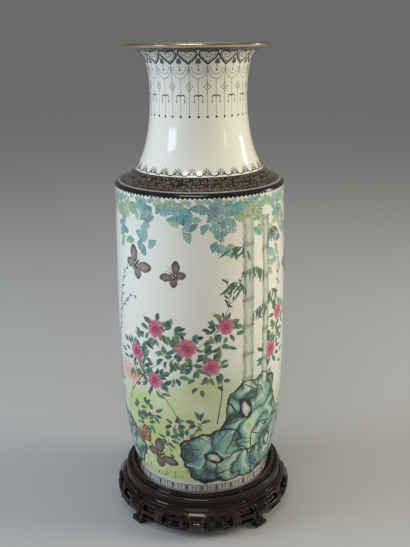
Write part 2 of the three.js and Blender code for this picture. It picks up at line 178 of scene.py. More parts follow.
class Skin:
    """The vase's outer face, unrolled. A place is an angle from the front and a length up the wall."""

    def __init__(self, wall):
        self.wall = [Vector((p.x * MM, FOOT_Z + p.y * MM)) for p in wall]
        self.heights = [p.y for p in wall]
        self.lengths = [0.0]
        for a, b in zip(self.wall, self.wall[1:]):
            self.lengths.append(self.lengths[-1] + (b - a).length)

    def length_at(self, height):
        """The length up the wall at a height in millimetres above the foot."""
        i = min(max(bisect_right(self.heights, height), 1), len(self.heights) - 1)
        low, high = self.heights[i - 1], self.heights[i]
        share = (height - low) / (high - low)
        return self.lengths[i - 1] + share * (self.lengths[i] - self.lengths[i - 1])

    def _at(self, length):
        i = min(max(bisect_right(self.lengths, length), 1), len(self.lengths) - 1)
        share = (length - self.lengths[i - 1]) / (self.lengths[i] - self.lengths[i - 1])
        along = self.wall[i] - self.wall[i - 1]
        return self.wall[i - 1] + along * share, Vector((along.y, -along.x)).normalized()

    def radius(self, length):
        return self._at(length)[0].x

    def point(self, angle, length, lift):
        place, outward = self._at(length)
        place = place + outward * lift
        return Vector((place.x * math.sin(angle), -place.x * math.cos(angle), place.y))


SKIN = Skin(vase_wall(inset=0, steps=24))


# Shared finishes
def new_material(name):
    material = bpy.data.materials.new(name)
    material.use_nodes = True
    return material, material.node_tree.nodes


def set_inputs(node, inputs):
    """Gives a node its inputs, each by its name or number: a value, or the output of another node."""
    for socket, value in inputs.items():
        if isinstance(value, bpy.types.NodeSocket):
            node.id_data.links.new(value, node.inputs[socket])
        else:
            node.inputs[socket].default_value = value


def add_node(nodes, kind, inputs, **settings):
    node = nodes.new("ShaderNode" + kind)
    for name, value in settings.items():
        setattr(node, name, value)
    set_inputs(node, inputs)
    return node


def new_group(name, inputs, outputs):
    group = bpy.data.node_groups.new(name, "ShaderNodeTree")
    for label, kind, default in inputs:
        socket = group.interface.new_socket(label, in_out="INPUT", socket_type="NodeSocket" + kind)
        socket.default_value = default
    for label, kind in outputs:
        group.interface.new_socket(label, in_out="OUTPUT", socket_type="NodeSocket" + kind)
    return group.nodes, group.nodes.new("NodeGroupInput"), group.nodes.new("NodeGroupOutput")


def use_group(nodes, name, **values):
    return add_node(nodes, "Group", values, node_tree=bpy.data.node_groups[name])


def make_tone_variation():
    """Shifts a colour a little lighter and darker in soft clouds, as fired glaze and enamel do."""
    nodes, start, end = new_group(
        "tone_variation", [("Color", "Color", (1, 1, 1, 1)), ("Scale", "Float", 12),
                           ("Amount", "Float", 0.1)],
        [("Color", "Color")])
    place = add_node(nodes, "TexCoord", {})
    cloud = add_node(nodes, "TexNoise", {
        "Vector": place.outputs["Object"], "Scale": start.outputs["Scale"], "Detail": 4})
    centred = add_node(nodes, "Math", {0: cloud.outputs["Fac"], 1: 0.5}, operation="SUBTRACT")
    scaled = add_node(nodes, "Math", {
        0: centred.outputs[0], 1: start.outputs["Amount"], 2: 1}, operation="MULTIPLY_ADD")
    shade = add_node(nodes, "VectorMath", {
        0: start.outputs["Color"], "Scale": scaled.outputs[0]}, operation="SCALE")
    set_inputs(end, {"Color": shade.outputs[0]})


def surface_grain(nodes, scale, depth):
    """A fine unevenness of the surface, read from the object's own space."""
    place = add_node(nodes, "TexCoord", {})
    pits = add_node(nodes, "TexNoise", {"Vector": place.outputs["Object"], "Scale": scale, "Detail": 3})
    bump = add_node(nodes, "Bump", {"Height": pits.outputs["Fac"], "Strength": 1, "Distance": depth})
    return bump.outputs["Normal"]


def fired_material(name, colour, cloud_scale, cloud_amount, grain, surface):
    """A fired finish in one colour or, where none is given, in the colours painted on the mesh."""
    material, nodes = new_material(name)
    if colour is None:
        colour = add_node(nodes, "Attribute", {}, attribute_name="paint").outputs["Color"]
    clouds = use_group(nodes, "tone_variation", Color=colour, Scale=cloud_scale, Amount=cloud_amount)
    set_inputs(nodes["Principled BSDF"], {
        **surface, "Base Color": clouds.outputs["Color"], "Normal": surface_grain(nodes, *grain)})
    return material


def diaper_material(dark, light):
    """A brown ground with a close net of small pale scrolls, drawn in the band's own UV map."""
    material, nodes = new_material("diaper_border")
    place = add_node(nodes, "UVMap", {}, uv_map="band")
    cells = add_node(nodes, "TexVoronoi", {"Vector": place.outputs["UV"], "Scale": 1, "Randomness": 0.45})
    curls = add_node(nodes, "ValToRGB", {"Fac": cells.outputs["Distance"]})
    stops = curls.color_ramp.elements
    stops[0].color = (*light, 1)
    stops[1].position, stops[1].color = 0.16, (*dark, 1)
    for position, colour in ((0.3, dark), (0.38, light), (0.46, dark)):
        stops.new(position).color = (*colour, 1)
    clouds = use_group(nodes, "tone_variation", Color=curls.outputs["Color"], Scale=90, Amount=0.9)
    set_inputs(nodes["Principled BSDF"], {
        "Base Color": clouds.outputs["Color"], "Roughness": 0.2, "Coat Weight": 0.5})
    return material


def make_wood_grain():
    """Long dark streaks and fine pores, drawn out along the way that the stretch gives."""
    nodes, start, end = new_group(
        "wood_grain", [("Dark", "Color", (0, 0, 0, 1)), ("Light", "Color", (1, 1, 1, 1)),
                       ("Stretch", "Vector", (1, 1, 1))],
        [("Color", "Color"), ("Pores", "Float"), ("Roughness", "Float")])
    place = add_node(nodes, "TexCoord", {})
    stretch = add_node(nodes, "Mapping",
                       {"Vector": place.outputs["Object"], "Scale": start.outputs["Stretch"]})
    along = stretch.outputs["Vector"]
    streaks = add_node(nodes, "TexNoise", {"Vector": along, "Scale": 42, "Detail": 7, "Distortion": 0.7})
    pores = add_node(nodes, "TexNoise", {"Vector": along, "Scale": 420, "Detail": 2})
    tone = add_node(nodes, "MapRange", {"Value": streaks.outputs["Fac"], "From Min": 0.38, "From Max": 0.7})
    colour = add_node(nodes, "Mix", {}, data_type="RGBA")
    set_inputs(colour, {
        "Factor": tone.outputs["Result"], "A": start.outputs["Dark"], "B": start.outputs["Light"]})
    sheen = add_node(nodes, "MapRange", {"Value": pores.outputs["Fac"], "To Min": 0.16, "To Max": 0.34})
    set_inputs(end, {
        "Color": colour.outputs["Result"], "Pores": pores.outputs["Fac"],
        "Roughness": sheen.outputs["Result"]})


def wood_material(name, dark, light, stretch, coat, worn=None):
    """Oiled hardwood. Where a point's attribute is above zero the worn colour shows, for worn edges and a
    painted sheen along crests. Below zero the colour is painted darker and the wood rougher, as shade in
    hollows and recesses.
    """
    material, nodes = new_material(name)
    streaks = use_group(nodes, "wood_grain", Dark=(*dark, 1), Light=(*light, 1), Stretch=stretch)
    colour, roughness = streaks.outputs["Color"], streaks.outputs["Roughness"]
    bump = add_node(nodes, "Bump", {"Height": streaks.outputs["Pores"], "Distance": 0.00008})
    if worn:
        # Above zero the worn colour is mixed in: worn wood and a painted sheen.
        wear_sheen_and_shade = add_node(nodes, "Attribute", {}, attribute_name="wear_sheen_and_shade").outputs["Fac"]
        wear_and_sheen = add_node(nodes, "Mix", {}, data_type="RGBA")
        set_inputs(wear_and_sheen, {"Factor": wear_sheen_and_shade, "A": colour, "B": (*worn, 1)})
        # Painted shade: below zero the colour darkens towards a third of the dark tone and the finish grows
        # rougher.
        painted_shade = add_node(nodes, "Math", {0: wear_sheen_and_shade, 1: -1}, operation="MULTIPLY", use_clamp=True).outputs[0]
        shaded = add_node(nodes, "Mix", {}, data_type="RGBA")
        set_inputs(shaded, {"Factor": painted_shade, "A": wear_and_sheen.outputs["Result"],
                            "B": (*[0.3 * c for c in dark], 1)})
        colour = shaded.outputs["Result"]
        roughness = add_node(nodes, "Math", {0: painted_shade, 1: 0.3, 2: roughness},
                             operation="MULTIPLY_ADD").outputs[0]
    set_inputs(nodes["Principled BSDF"], {
        "Base Color": colour, "Roughness": roughness, "Normal": bump.outputs["Normal"],
        "Specular IOR Level": 0.12, "Coat Weight": coat, "Coat Roughness": 0.07})
    return material


# Modelling helpers
def add_piece(name, points, edges, faces):
    """A new mesh object, selected and active, ready for operators."""
    mesh = bpy.data.meshes.new(name)
    mesh.from_pydata([tuple(p) for p in points], edges, faces)
    piece = bpy.data.objects.new(name, mesh)
    bpy.context.collection.objects.link(piece)
    pick(piece)
    return piece


def pick(*pieces):
    bpy.ops.object.select_all(action="DESELECT")
    for piece in pieces:
        piece.select_set(True)
    bpy.context.view_layer.objects.active = pieces[0]


def apply_modifier(piece, kind, **settings):
    pick(piece)
    bpy.ops.object.modifier_add(type=kind)
    modifier = piece.modifiers[-1]
    for key, value in settings.items():
        setattr(modifier, key, value)
    bpy.ops.object.modifier_apply(modifier=modifier.name)


def lofted(name, points, sides):
    """A closed skin over rings of points, as many in each ring, with flat ends."""
    faces = [tuple(range(sides)), tuple(reversed(range(len(points) - sides, len(points))))]
    for ring in range(len(points) // sides - 1):
        for s in range(sides):
            a, b = ring * sides + s, ring * sides + (s + 1) % sides
            faces.append((a, b, b + sides, a + sides))
    piece = add_piece(name, points, [], faces)
    bpy.ops.object.mode_set(mode="EDIT")
    bpy.ops.mesh.select_all(action="SELECT")
    bpy.ops.mesh.normals_make_consistent(inside=False)
    bpy.ops.object.mode_set(mode="OBJECT")
    return piece


def turned(name, profile, closed, start=0, sweep=FULL_TURN):
    """Turns a profile of (radius, height) in millimetres about Z. A closed one makes a ring or an arc."""
    points = [(p.x * MM * math.sin(start), -p.x * MM * math.cos(start), p.y * MM) for p in profile]
    edges = [(i, i + 1) for i in range(len(points) - 1)]
    if closed:
        edges.append((len(points) - 1, 0))
    piece = add_piece(name, points, edges, [])
    bpy.ops.object.mode_set(mode="EDIT")
    bpy.ops.mesh.select_all(action="SELECT")
    steps = round(TURNED_STEPS * sweep / FULL_TURN)
    bpy.ops.mesh.spin(steps=steps, angle=sweep, center=(0, 0, 0), axis=(0, 0, 1))
    bpy.ops.mesh.select_all(action="SELECT")
    bpy.ops.mesh.remove_doubles(threshold=0.00002)
    if closed:
        bpy.ops.mesh.fill_holes(sides=0)
    bpy.ops.mesh.normals_make_consistent(inside=False)
    bpy.ops.object.mode_set(mode="OBJECT")
    bpy.ops.object.shade_smooth_by_angle(angle=math.radians(35))
    return piece


def join(pieces):
    pick(*pieces)
    bpy.ops.object.join()
    return bpy.context.object


class Enamel:
    """Raised paint drawn on the unrolled skin, where every point of a stroke has its own colour."""

    def __init__(self):
        self.points, self.colours, self.faces = [], [], []

    def sheet(self, rows, wrap=False):
        """Adds rows of (angle, length, lift, colour), from left to right and from the bottom up."""
        first, width = len(self.points), len(rows[0])
        for row in rows:
            for angle, length, lift, colour in row:
                self.points.append(SKIN.point(angle, length, lift))
                self.colours.append((*colour, 1.0))
        for r in range(len(rows) - 1):
            for c in range(width if wrap else width - 1):
                a = first + r * width + c
                b = first + r * width + (c + 1) % width
                self.faces.append((a, b, b + width, a + width))

    def stroke(self, anchor, path, widths, shade, columns=2, lift=PAINT_LIFT):
        """Draws a ribbon along (across, up) points in metres, coloured by shade(share, side)."""
        angle, length = anchor
        radius = SKIN.radius(length)
        path = [Vector(place) for place in path]
        last = len(path) - 1
        rows = []
        for i, here in enumerate(path):
            along = (path[min(i + 1, last)] - path[max(i - 1, 0)]).normalized()
            right = Vector((along.y, -along.x))
            width = widths[i] if isinstance(widths, (list, tuple)) else widths
            row = []
            for c in range(columns + 1):
                side = 2 * c / columns - 1
                place = here + right * (side * width / 2)
                height = PAINT_EDGE + (lift - PAINT_EDGE) * (1 - side ** 4)
                row.append((angle + place.x / radius, length + place.y, height, shade(i / last, side)))
            rows.append(row)
        self.sheet(rows)

    @staticmethod
    def outline_reach(outline, middle):
        """The distance from a middle to a closed outline round it, for any turn."""
        spokes = sorted((math.atan2(p.y - middle.y, p.x - middle.x) % FULL_TURN, (p - middle).length)
                        for p in outline)
        turns = [turn for turn, _ in spokes]

        def reach(turn):
            return spokes[bisect_right(turns, turn % FULL_TURN) % len(spokes)][1]

        return reach

    def line(self, anchor, path, width, colour, lift=PAINT_LIFT * 1.5, columns=2):
        self.stroke(anchor, path, width, lambda share, side: colour, columns, lift)

    def spot(self, anchor, centre, reach, shade, rings=2, sides=10, lift=PAINT_LIFT):
        """Draws a filled spot. reach(turn) gives its radius and shade(share, turn) its colour, outwards."""
        angle, length = anchor
        radius = SKIN.radius(length)
        centre = Vector(centre)
        first = len(self.points)
        self.points.append(SKIN.point(angle + centre.x / radius, length + centre.y, lift))
        self.colours.append((*shade(0, 0), 1.0))
        for ring in range(1, rings + 1):
            share = ring / rings
            for s in range(sides):
                turn = FULL_TURN * s / sides
                place = centre + Vector((math.cos(turn), math.sin(turn))) * (reach(turn) * share)
                height = PAINT_EDGE + (lift - PAINT_EDGE) * (1 - share ** 6)
                self.points.append(SKIN.point(angle + place.x / radius, length + place.y, height))
                self.colours.append((*shade(share, turn), 1.0))
        for s in range(sides):
            follow = (s + 1) % sides
            self.faces.append((first, first + 1 + s, first + 1 + follow))
            for ring in range(1, rings):
                a = first + 1 + (ring - 1) * sides
                self.faces.append((a + s, a + sides + s, a + sides + follow, a + follow))

    def dot(self, anchor, centre, size, colour, sides=6, lift=PAINT_LIFT * 1.5):
        self.spot(anchor, centre, lambda turn: size, lambda share, turn: colour, 1, sides, lift)

    def belt(self, low, high, colour, steps=TURNED_STEPS, rows=2, lift=PAINT_LIFT * 0.5):
        """Paints a plain ring between two heights in millimetres."""
        start, end = SKIN.length_at(low), SKIN.length_at(high)
        lifts = [PAINT_EDGE, *[lift] * (rows + 1), PAINT_EDGE]
        shares = [0, *[0.02 + 0.96 * i / rows for i in range(rows + 1)], 1]
        self.sheet([
            [(FULL_TURN * s / steps, start + (end - start) * share, height, colour) for s in range(steps)]
            for share, height in zip(shares, lifts)], wrap=True)

    def finish(self, name, material):
        """Makes the drawn paint one piece with a real thickness, riding on the vase."""
        piece = add_piece(name, self.points, [], self.faces)
        paint = piece.data.attributes.new("paint", "FLOAT_COLOR", "POINT")
        paint.data.foreach_set("color", [c for colour in self.colours for c in colour])
        thickness = bpy.context.scene.vase_settings.paint_thickness
        apply_modifier(piece, "SOLIDIFY", thickness=thickness, offset=-1)
        bpy.ops.object.shade_smooth_by_angle(angle=math.radians(50))
        piece.data.materials.append(material)
        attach(piece, "vase")
        return piece


# Colours of the enamels
INK = rgb(38, 36, 36)
GREY_LINE = rgb(112, 112, 112)
BROWN = rgb(70, 50, 38)
WHITE = rgb(226, 224, 212)
TEALS = (rgb(66, 146, 146), rgb(88, 162, 156), rgb(112, 176, 164), rgb(58, 128, 134))
LIMES = (rgb(134, 172, 104), rgb(160, 186, 110), rgb(104, 158, 116))
GREENS = (rgb(40, 84, 70), rgb(52, 104, 88), rgb(66, 122, 92), rgb(108, 142, 84))
ROSE_DEEP = rgb(142, 20, 66)
ROSE = rgb(196, 60, 106)
ROSE_PALE = rgb(238, 176, 190)


def place_at(across, height):
    """The anchor at a length across from the side that the camera faces and a height above the foot."""
    return VIEW_ANGLE + across / BODY_RADIUS, SKIN.length_at(height)


def paint_neck(ink):
    """The traditional border under the lip: heads joined in a chain, swags, strings of beads and drops."""
    heads = 18
    pitch = FULL_TURN / heads
    top = SKIN.length_at(VASE_HEIGHT - 8.2)
    tip = SKIN.length_at(578)
    swag_top = SKIN.length_at(575)
    swag_low = SKIN.length_at(560.5)
    string_end = SKIN.length_at(514.5)
    # A near-black band round the underside of the flare, from just under the lip down to the tops of the
    # heads.
    ink.belt(VASE_HEIGHT - 8.4, VASE_HEIGHT - 4.8, rgb(40, 42, 38), rows=4)
    tall = top - tip
    for k in range(heads):
        angle = VIEW_ANGLE + (k + 0.5) * pitch
        crown = (angle, top)
        wide = SKIN.radius((top + tip) / 2) * pitch * 0.99
        crest = [(0, -0.16 * tall), (0.12 * wide, 0.02 * tall), (0.5 * wide, 0.05 * tall),
                 (0.5 * wide, -0.3 * tall)]
        flank = [(0.5 * wide, -0.3 * tall), (0.5 * wide, -0.62 * tall), (0.18 * wide, -0.82 * tall),
                 (0, -tall)]
        for scale, width in ((1.0, 3.4), (0.74, 1.2)):
            half = [Vector(crest[0]), *bezier(crest, 6), *bezier(flank, 6)]
            sink = (1 - scale) * tall * 0.42
            for side in (1, -1):
                path = [Vector((p.x * side * scale, p.y * scale - sink)) for p in half]
                ink.line(crown, path, width * MM, INK)
        for turn in range(-2, 3):
            lean = turn * 0.5
            foot = Vector((math.sin(lean), -math.cos(lean))) * 2.4 * MM
            ink.line(crown, [Vector((0, -0.42 * tall)) + foot, Vector((0, -0.42 * tall)) + foot * 1.8],
                     1.2 * MM, INK)
        for side in (-1, 1):
            curl = [Vector((side * x * wide, -y * tall)) for x, y in (
                (0.02, 0.2), (0.1, 0.3), (0.2, 0.28), (0.22, 0.4), (0.13, 0.46))]
            ink.line(crown, curl, 1.3 * MM, INK)
            ink.dot(crown, (side * 1.7 * MM, -0.38 * tall), 1.0 * MM, INK)
            shade = [Vector((side * 0.5 * wide, -0.62 * tall)), Vector((side * 0.5 * wide, -0.98 * tall))]
            ink.line(crown, shade, [1.2 * MM, 6.2 * MM], rgb(84, 84, 82), PAINT_LIFT * 1.2)
        between = (angle + pitch / 2, tip + 3.2 * MM)
        for path in (((0, 3), (2, 0), (0, -3)), ((0, 3), (-2, 0), (0, -3))):
            ink.line(between, [Vector(p) * MM for p in path], 1.2 * MM, INK)
        ink.line(between, [Vector((0, -3 * MM)), Vector((0, -9.5 * MM))], 0.8 * MM, GREY_LINE)
        ink.dot(between, (0, -10.4 * MM), 1.5 * MM, INK, 8)
        span = SKIN.radius(swag_top) * pitch / 2
        for reach, depth, width in ((0.97, swag_top - swag_low, 0.9),
                                    (0.72, (swag_top - swag_low) * 0.62, 0.8)):
            curve = [Vector((span * reach * math.cos(a), -depth * math.sin(a)))
                     for a in (math.pi * i / 14 for i in range(15))]
            ink.line((angle + pitch / 2, swag_top), curve, width * MM, rgb(128, 128, 124))
        bead_string(ink, angle, tip, string_end)
        bead_string(ink, angle + pitch / 2, swag_low, string_end)
        diamond = (angle, SKIN.length_at(551))
        for across, up in ((0, 5), (0, -5), (1.9, 2.5), (-1.9, 2.5), (1.9, -2.5), (-1.9, -2.5), (3.8, 0),
                           (-3.8, 0), (0, 0)):
            ink.dot(diamond, (across * MM, up * MM), 1.15 * MM, INK)
        bracket = (angle + pitch / 2, SKIN.length_at(540.5))
        for side in (-1, 1):
            ink.line(bracket, [Vector((side * x, y)) * MM
                               for x, y in ((0, -0.8), (1.6, 0.7), (3.6, 0.5), (5.4, -0.9))],
                     1.7 * MM, INK)
            ink.line(bracket, [Vector((side * 5.2 * MM, -1 * MM)), Vector((side * 5.2 * MM, -6.5 * MM))],
                     0.75 * MM, GREY_LINE)
            ink.dot(bracket, (side * 5.2 * MM, -7.4 * MM), 1.35 * MM, INK)


def bead_string(ink, angle, start, end):
    """A string of fine dashes with a drop at its end."""
    dash, gap = 1.15 * MM, 0.6 * MM
    length = start
    while length - dash > end + 2 * MM:
        ink.line((angle, length), [Vector((0, 0)), Vector((0, -dash))], 0.85 * MM, rgb(72, 72, 72))
        length -= dash + gap
    ink.spot((angle, end), (0, 0.6 * MM), lambda turn: (1.75 + 0.9 * max(math.sin(turn), 0) ** 3) * MM,
             lambda share, turn: INK, 1, 10, PAINT_LIFT * 1.6)


def paint_sprigs(ink):
    """The border of palmette sprigs joined by scrolls at the foot of the neck."""
    count = 28
    base = SKIN.length_at(446.4)
    for k in range(count):
        anchor = (VIEW_ANGLE + (k + 0.5) * FULL_TURN / count, base)
        for leaf in range(-3, 4):
            lean = leaf * 0.46
            size = (7.4 - 0.6 * abs(leaf)) * MM
            start = toward(lean) * 1.5 * MM + Vector((0, 1.2 * MM))
            end = start + toward(lean * 1.1) * size
            middle = start.lerp(end, 0.5)
            ink.line(anchor, [start, middle, end], [0.6 * MM, 1.6 * MM, 0.5 * MM], INK)
        half = SKIN.radius(base) * math.pi / count
        for side in (-1, 1):
            curl = [Vector((side * x * half, y * MM)) for x, y in (
                (0.05, 0.2), (0.3, 1.1), (0.55, 0.7), (0.72, -0.4), (0.95, -0.7), (1.0, -0.2))]
            ink.line(anchor, curl, 1.8 * MM, INK)
            ink.dot(anchor, (side * 0.42 * half, 2.6 * MM), 1.1 * MM, INK)
    ink.belt(443.6, 444.4, INK)


def paint_shoulder(ink):
    """The dark lines round the shoulder and the scalloped edge that hangs below it."""
    ink.belt(429.0, 430.2, rgb(150, 146, 134), lift=PAINT_LIFT)
    ink.belt(424.4, 429.2, rgb(26, 23, 21), rows=4, lift=PAINT_LIFT * 2)
    count = 120
    edge = SKIN.length_at(424.6)
    for k in range(count):
        anchor = (FULL_TURN * k / count, edge)
        ink.dot(anchor, (0, 0), 2.6 * MM, rgb(26, 23, 21), 12, PAINT_LIFT * 2)


def paint_key_fret(ink):
    """The key fret round the foot, between two lines, on a pale grey ground."""
    count = 58
    low, high = 5.5, 18.5
    ink.belt(low, high, rgb(214, 212, 204), rows=3, lift=PAINT_LIFT * 0.4)
    for height in (low + 0.4, high - 1.3):
        ink.belt(height, height + 0.9, rgb(72, 72, 72), lift=PAINT_LIFT)
    middle = SKIN.length_at((low + high) / 2)
    step = SKIN.radius(middle) * FULL_TURN / count
    size = (SKIN.length_at(high) - SKIN.length_at(low)) * 0.68
    turns = ((-0.5, -0.5), (-0.5, 0.5), (0.36, 0.5), (0.36, -0.3), (-0.24, -0.3), (-0.24, 0.24),
             (0.12, 0.24), (0.12, -0.04))
    for k in range(count):
        anchor = (FULL_TURN * k / count, middle)
        flip = 1 if k % 2 else -1
        corners = [Vector((x * step * 0.86 * flip, y * size)) for x, y in turns]
        for start, end in zip(corners, corners[1:]):
            ink.line(anchor, [start, end], 1.15 * MM, rgb(58, 58, 58))


# Motifs of the garden
def fan_leaf(enamel, anchor, heading, size, colour, rng):
    """A fan-shaped leaf on a short stalk, with fine radiating veins and a notch in its edge."""
    dark = mix(colour, rgb(26, 74, 72), 0.4)
    pale = mix(colour, WHITE, 0.4)
    spokes, rings = 12, 3
    spread = math.radians(rng.uniform(52, 68))
    rows = []
    for ring in range(rings + 1):
        share = 0.08 + 0.92 * ring / rings
        row = []
        for s in range(spokes + 1):
            turn = spread * (2 * s / spokes - 1)
            notch = 1 - 0.16 * math.exp(-(turn / 0.16) ** 2) + 0.05 * math.cos(turn * 9)
            reach = size * share * (notch if ring == rings else 1 - 0.06 * share)
            out = heading + turn
            place = toward(out) * reach
            rim = PAINT_EDGE if ring == rings or s in (0, spokes) else PAINT_LIFT
            vein = dark if s % 3 == 1 else mix(colour, pale, share * 0.8)
            row.append((anchor[0] + place.x / SKIN.radius(anchor[1]), anchor[1] + place.y, rim, vein))
        rows.append(row)
    enamel.sheet(rows)


def blade(enamel, anchor, start, heading, length, width, dark, light, bend=0.15, lift=PAINT_LIFT):
    """A pointed leaf or petal with a darker middle, bending a little to one side."""
    steps = 5
    side = Vector((math.cos(heading), -math.sin(heading)))
    ahead = toward(heading)
    path = []
    for i in range(steps + 1):
        bow = side * bend * length * math.sin(math.pi * i / steps)
        path.append(Vector(start) + ahead * length * i / steps + bow)
    widths = [max(width * math.sin(math.pi * (0.06 + 0.92 * i / steps)) ** 0.8, 0.12 * MM)
              for i in range(steps + 1)]
    enamel.stroke(anchor, path, widths, lambda share, across: mix(
        mix(dark, light, share), dark, 0.75 * (1 - abs(across)) if abs(across) < 0.4 else 0.0), 4, lift)


def petal(enamel, anchor, start, heading, length, width, deep, pale, lift):
    """A blunt petal, deep at its root and pale along its rim."""
    ahead = toward(heading)
    path = [start + ahead * length * share for share in (0, 0.25, 0.5, 0.72, 0.88, 1)]
    widths = [width * part for part in (0.3, 0.62, 0.88, 1, 0.86, 0.4)]
    enamel.stroke(anchor, path, widths,
                  lambda share, side: mix(deep, pale, share ** 1.5 * 0.75 + 0.4 * abs(side) ** 2), 4, lift)


def chrysanthemum(enamel, anchor, size, rng):
    """A full rose-pink bloom: four rings of blunt petals, pale at their tips, round a deep middle."""
    enamel.spot(anchor, (0, 0), lambda turn: size * 0.8,
                lambda share, turn: mix(ROSE_DEEP, ROSE, share), 3, 32, PAINT_LIFT * 0.7)
    for ring, (count, reach, wide) in enumerate(((12, 0.9, 0.5), (10, 0.72, 0.46), (8, 0.54, 0.42),
                                                 (6, 0.34, 0.34))):
        for k in range(count):
            heading = FULL_TURN * (k + 0.5 * ring) / count + rng.uniform(-0.12, 0.12)
            out = toward(heading)
            tip = mix(ROSE_PALE, ROSE, rng.uniform(0.0, 0.5) + 0.1 * ring)
            length = size * reach * rng.uniform(0.88, 1.04)
            petal(enamel, anchor, out * size * 0.08, heading, length, size * wide,
                  mix(ROSE_DEEP, ROSE, 0.35 * rng.random()), tip, PAINT_LIFT * (1 + 0.5 * ring))
    enamel.spot(anchor, (0, 0), lambda turn: size * 0.11,
                lambda share, turn: mix(rgb(214, 160, 66), ROSE_DEEP, share * 0.5),
                2, 10, PAINT_LIFT * 3)


def aster(enamel, ink, anchor, size, petals, centre):
    """A small single flower with a fine dark outline."""
    for k in range(9):
        heading = FULL_TURN * k / 9
        out = toward(heading)
        blade(enamel, anchor, out * size * 0.2, heading, size * 0.8, size * 0.42, mix(petals, centre, 0.25),
              petals, 0)
        ink.line(anchor, [out * size * 0.98, out * size * 1.12], 0.5 * MM, rgb(92, 64, 44))
    enamel.dot(anchor, (0, 0), size * 0.24, centre, 8, PAINT_LIFT * 2)


def stem(enamel, points, width, colour, taper=0.5):
    """A twig through (across, height) places in millimetres, thinner towards its tip."""
    anchor = place_at(*points[0])
    start = Vector(points[0])
    control = [(Vector(p) - start) * MM for p in points]
    path = [control[0]]
    for i in range(len(control) - 1):
        before = control[max(i - 1, 0)]
        after = control[min(i + 2, len(control) - 1)]
        a, b = control[i], control[i + 1]
        path += bezier([a, a + (b - before) / 6, b - (after - a) / 6, b], 5)
    last = len(path) - 1
    widths = [width * MM * (1 - (1 - taper) * i / last) for i in range(last + 1)]
    enamel.stroke(anchor, path, widths, lambda share, side: mix(colour, INK, 0.55 * max(side, 0)), 2,
                  PAINT_LIFT * 1.2)


def butterfly(enamel, ink, anchor, heading, size, wing):
    """A butterfly from above: four wings with dark margins and veins, a dark body and two feelers."""
    turn_by = Matrix.Rotation(-heading, 2)
    for side in (-1, 1):
        for x, y, lean, long, wide in ((0.5, 0.3, 0.75, 0.56, 0.34), (0.36, -0.3, -0.7, 0.42, 0.32)):
            middle = turn_by @ Vector((side * x, y)) * size
            way = turn_by @ Vector((side * math.cos(lean), math.sin(lean)))
            slant = math.atan2(way.y, way.x)

            def reach(turn):
                a = turn - slant
                blunt = 1 + 0.12 * math.cos(a) + 0.05 * math.cos(5 * a)
                return size * blunt / math.sqrt((math.cos(a) / long) ** 2 + (math.sin(a) / wide) ** 2)

            def tint(share, turn):
                outer = max(math.cos(turn - slant), 0)
                bars = 0.4 * max(math.sin(7 * turn + 5 * share), 0)
                margin = max(share - 0.55, 0) / 0.45 * (0.4 + 0.6 * outer)
                return mix(mix(wing, WHITE, 0.2 * (1 - share)), INK, min(0.9 * margin + bars, 0.92))

            enamel.spot(anchor, middle, reach, tint, 4, 22, PAINT_LIFT * (1.5 if y > 0 else 1.2))
            root = turn_by @ Vector((side * 0.06, 0.1 * y)) * size
            for spread in (-0.4, 0, 0.4):
                tip = Vector((math.cos(slant + spread), math.sin(slant + spread))) * size * long * 0.72
                ink.line(anchor, [root, middle + tip], 0.6 * MM, INK, PAINT_LIFT * 2.2)
        feeler = [turn_by @ Vector((side * x, y)) * size
                  for x, y in ((0.02, 0.3), (0.1, 0.55), (0.22, 0.72))]
        ink.line(anchor, feeler, 0.55 * MM, INK)
    body = [turn_by @ Vector((0, y)) * size for y in (-0.5, -0.1, 0.2, 0.36)]
    ink.line(anchor, body, [0.06 * size, 0.13 * size, 0.15 * size, 0.08 * size], INK, PAINT_LIFT * 2.6)


def culm(enamel, ink, across, low, high, width, rng):
    """A stem of bamboo in joints, pale down its middle and grey-green at its sides, with moss dots."""
    height = low
    while height < high:
        joint = rng.uniform(33, 44)
        top = min(height + joint, high)
        anchor = place_at(across, height)
        steps = max(int((top - height) / 5), 2)
        rise = SKIN.length_at(top) - anchor[1]
        path = [Vector((0.6 * MM * math.sin(i * 0.7), rise * i / steps)) for i in range(steps + 1)]
        waist = [width * MM * (1 - 0.14 * math.sin(math.pi * i / steps)) for i in range(steps + 1)]

        def bark(share, side):
            mottle = noise.noise(Vector((across * 0.1 + side * 1.5, height * 0.05 + share * 4, 3.1)))
            return mix(mix(rgb(206, 212, 196), rgb(126, 148, 116), abs(side) ** 1.5), rgb(96, 82, 72),
                       0.5 * max(mottle, 0) + (0.55 if share < 0.06 or share > 0.95 else 0))

        enamel.stroke(anchor, path, waist, bark, 6, PAINT_LIFT * 1.3)
        ink.line(anchor, [Vector((-width * 0.55 * MM, 0)), Vector((0, -0.9 * MM)),
                          Vector((width * 0.55 * MM, 0))],
                 1.1 * MM, INK)
        for side in (-1, 1):
            ink.line(anchor, [p + Vector((side * width * 0.48 * MM, 0)) for p in path], 0.5 * MM,
                     rgb(74, 66, 60))
            for _ in range(4):
                spot = rng.random()
                ink.dot(anchor, (side * width * 0.5 * MM, rise * spot), rng.uniform(0.5, 1.0) * MM, INK)
        height = top


def bamboo_spray(enamel, ink, across, height, side, rng):
    """A side twig of the bamboo with slender leaves that hang from it."""
    reach = rng.uniform(20, 32) * side
    twig = ((across, height), (across + 0.5 * reach, height + 9), (across + reach, height + 7))
    stem(ink, twig, 1.1, rgb(74, 84, 66), 0.5)
    for k in range(11):
        share = (k + 1) / 11
        root = place_at(across + reach * share, height + 10 * math.sin(2.4 * share))
        colour = rng.choice(GREENS[:3])
        blade(enamel, root, (0, 0), math.pi - side * rng.uniform(-0.5, 1.3), rng.uniform(14, 21) * MM,
              3.8 * MM,
              mix(colour, INK, 0.25), mix(colour, WHITE, rng.uniform(0.1, 0.4)), rng.uniform(-0.12, 0.12),
              PAINT_LIFT * 1.6)


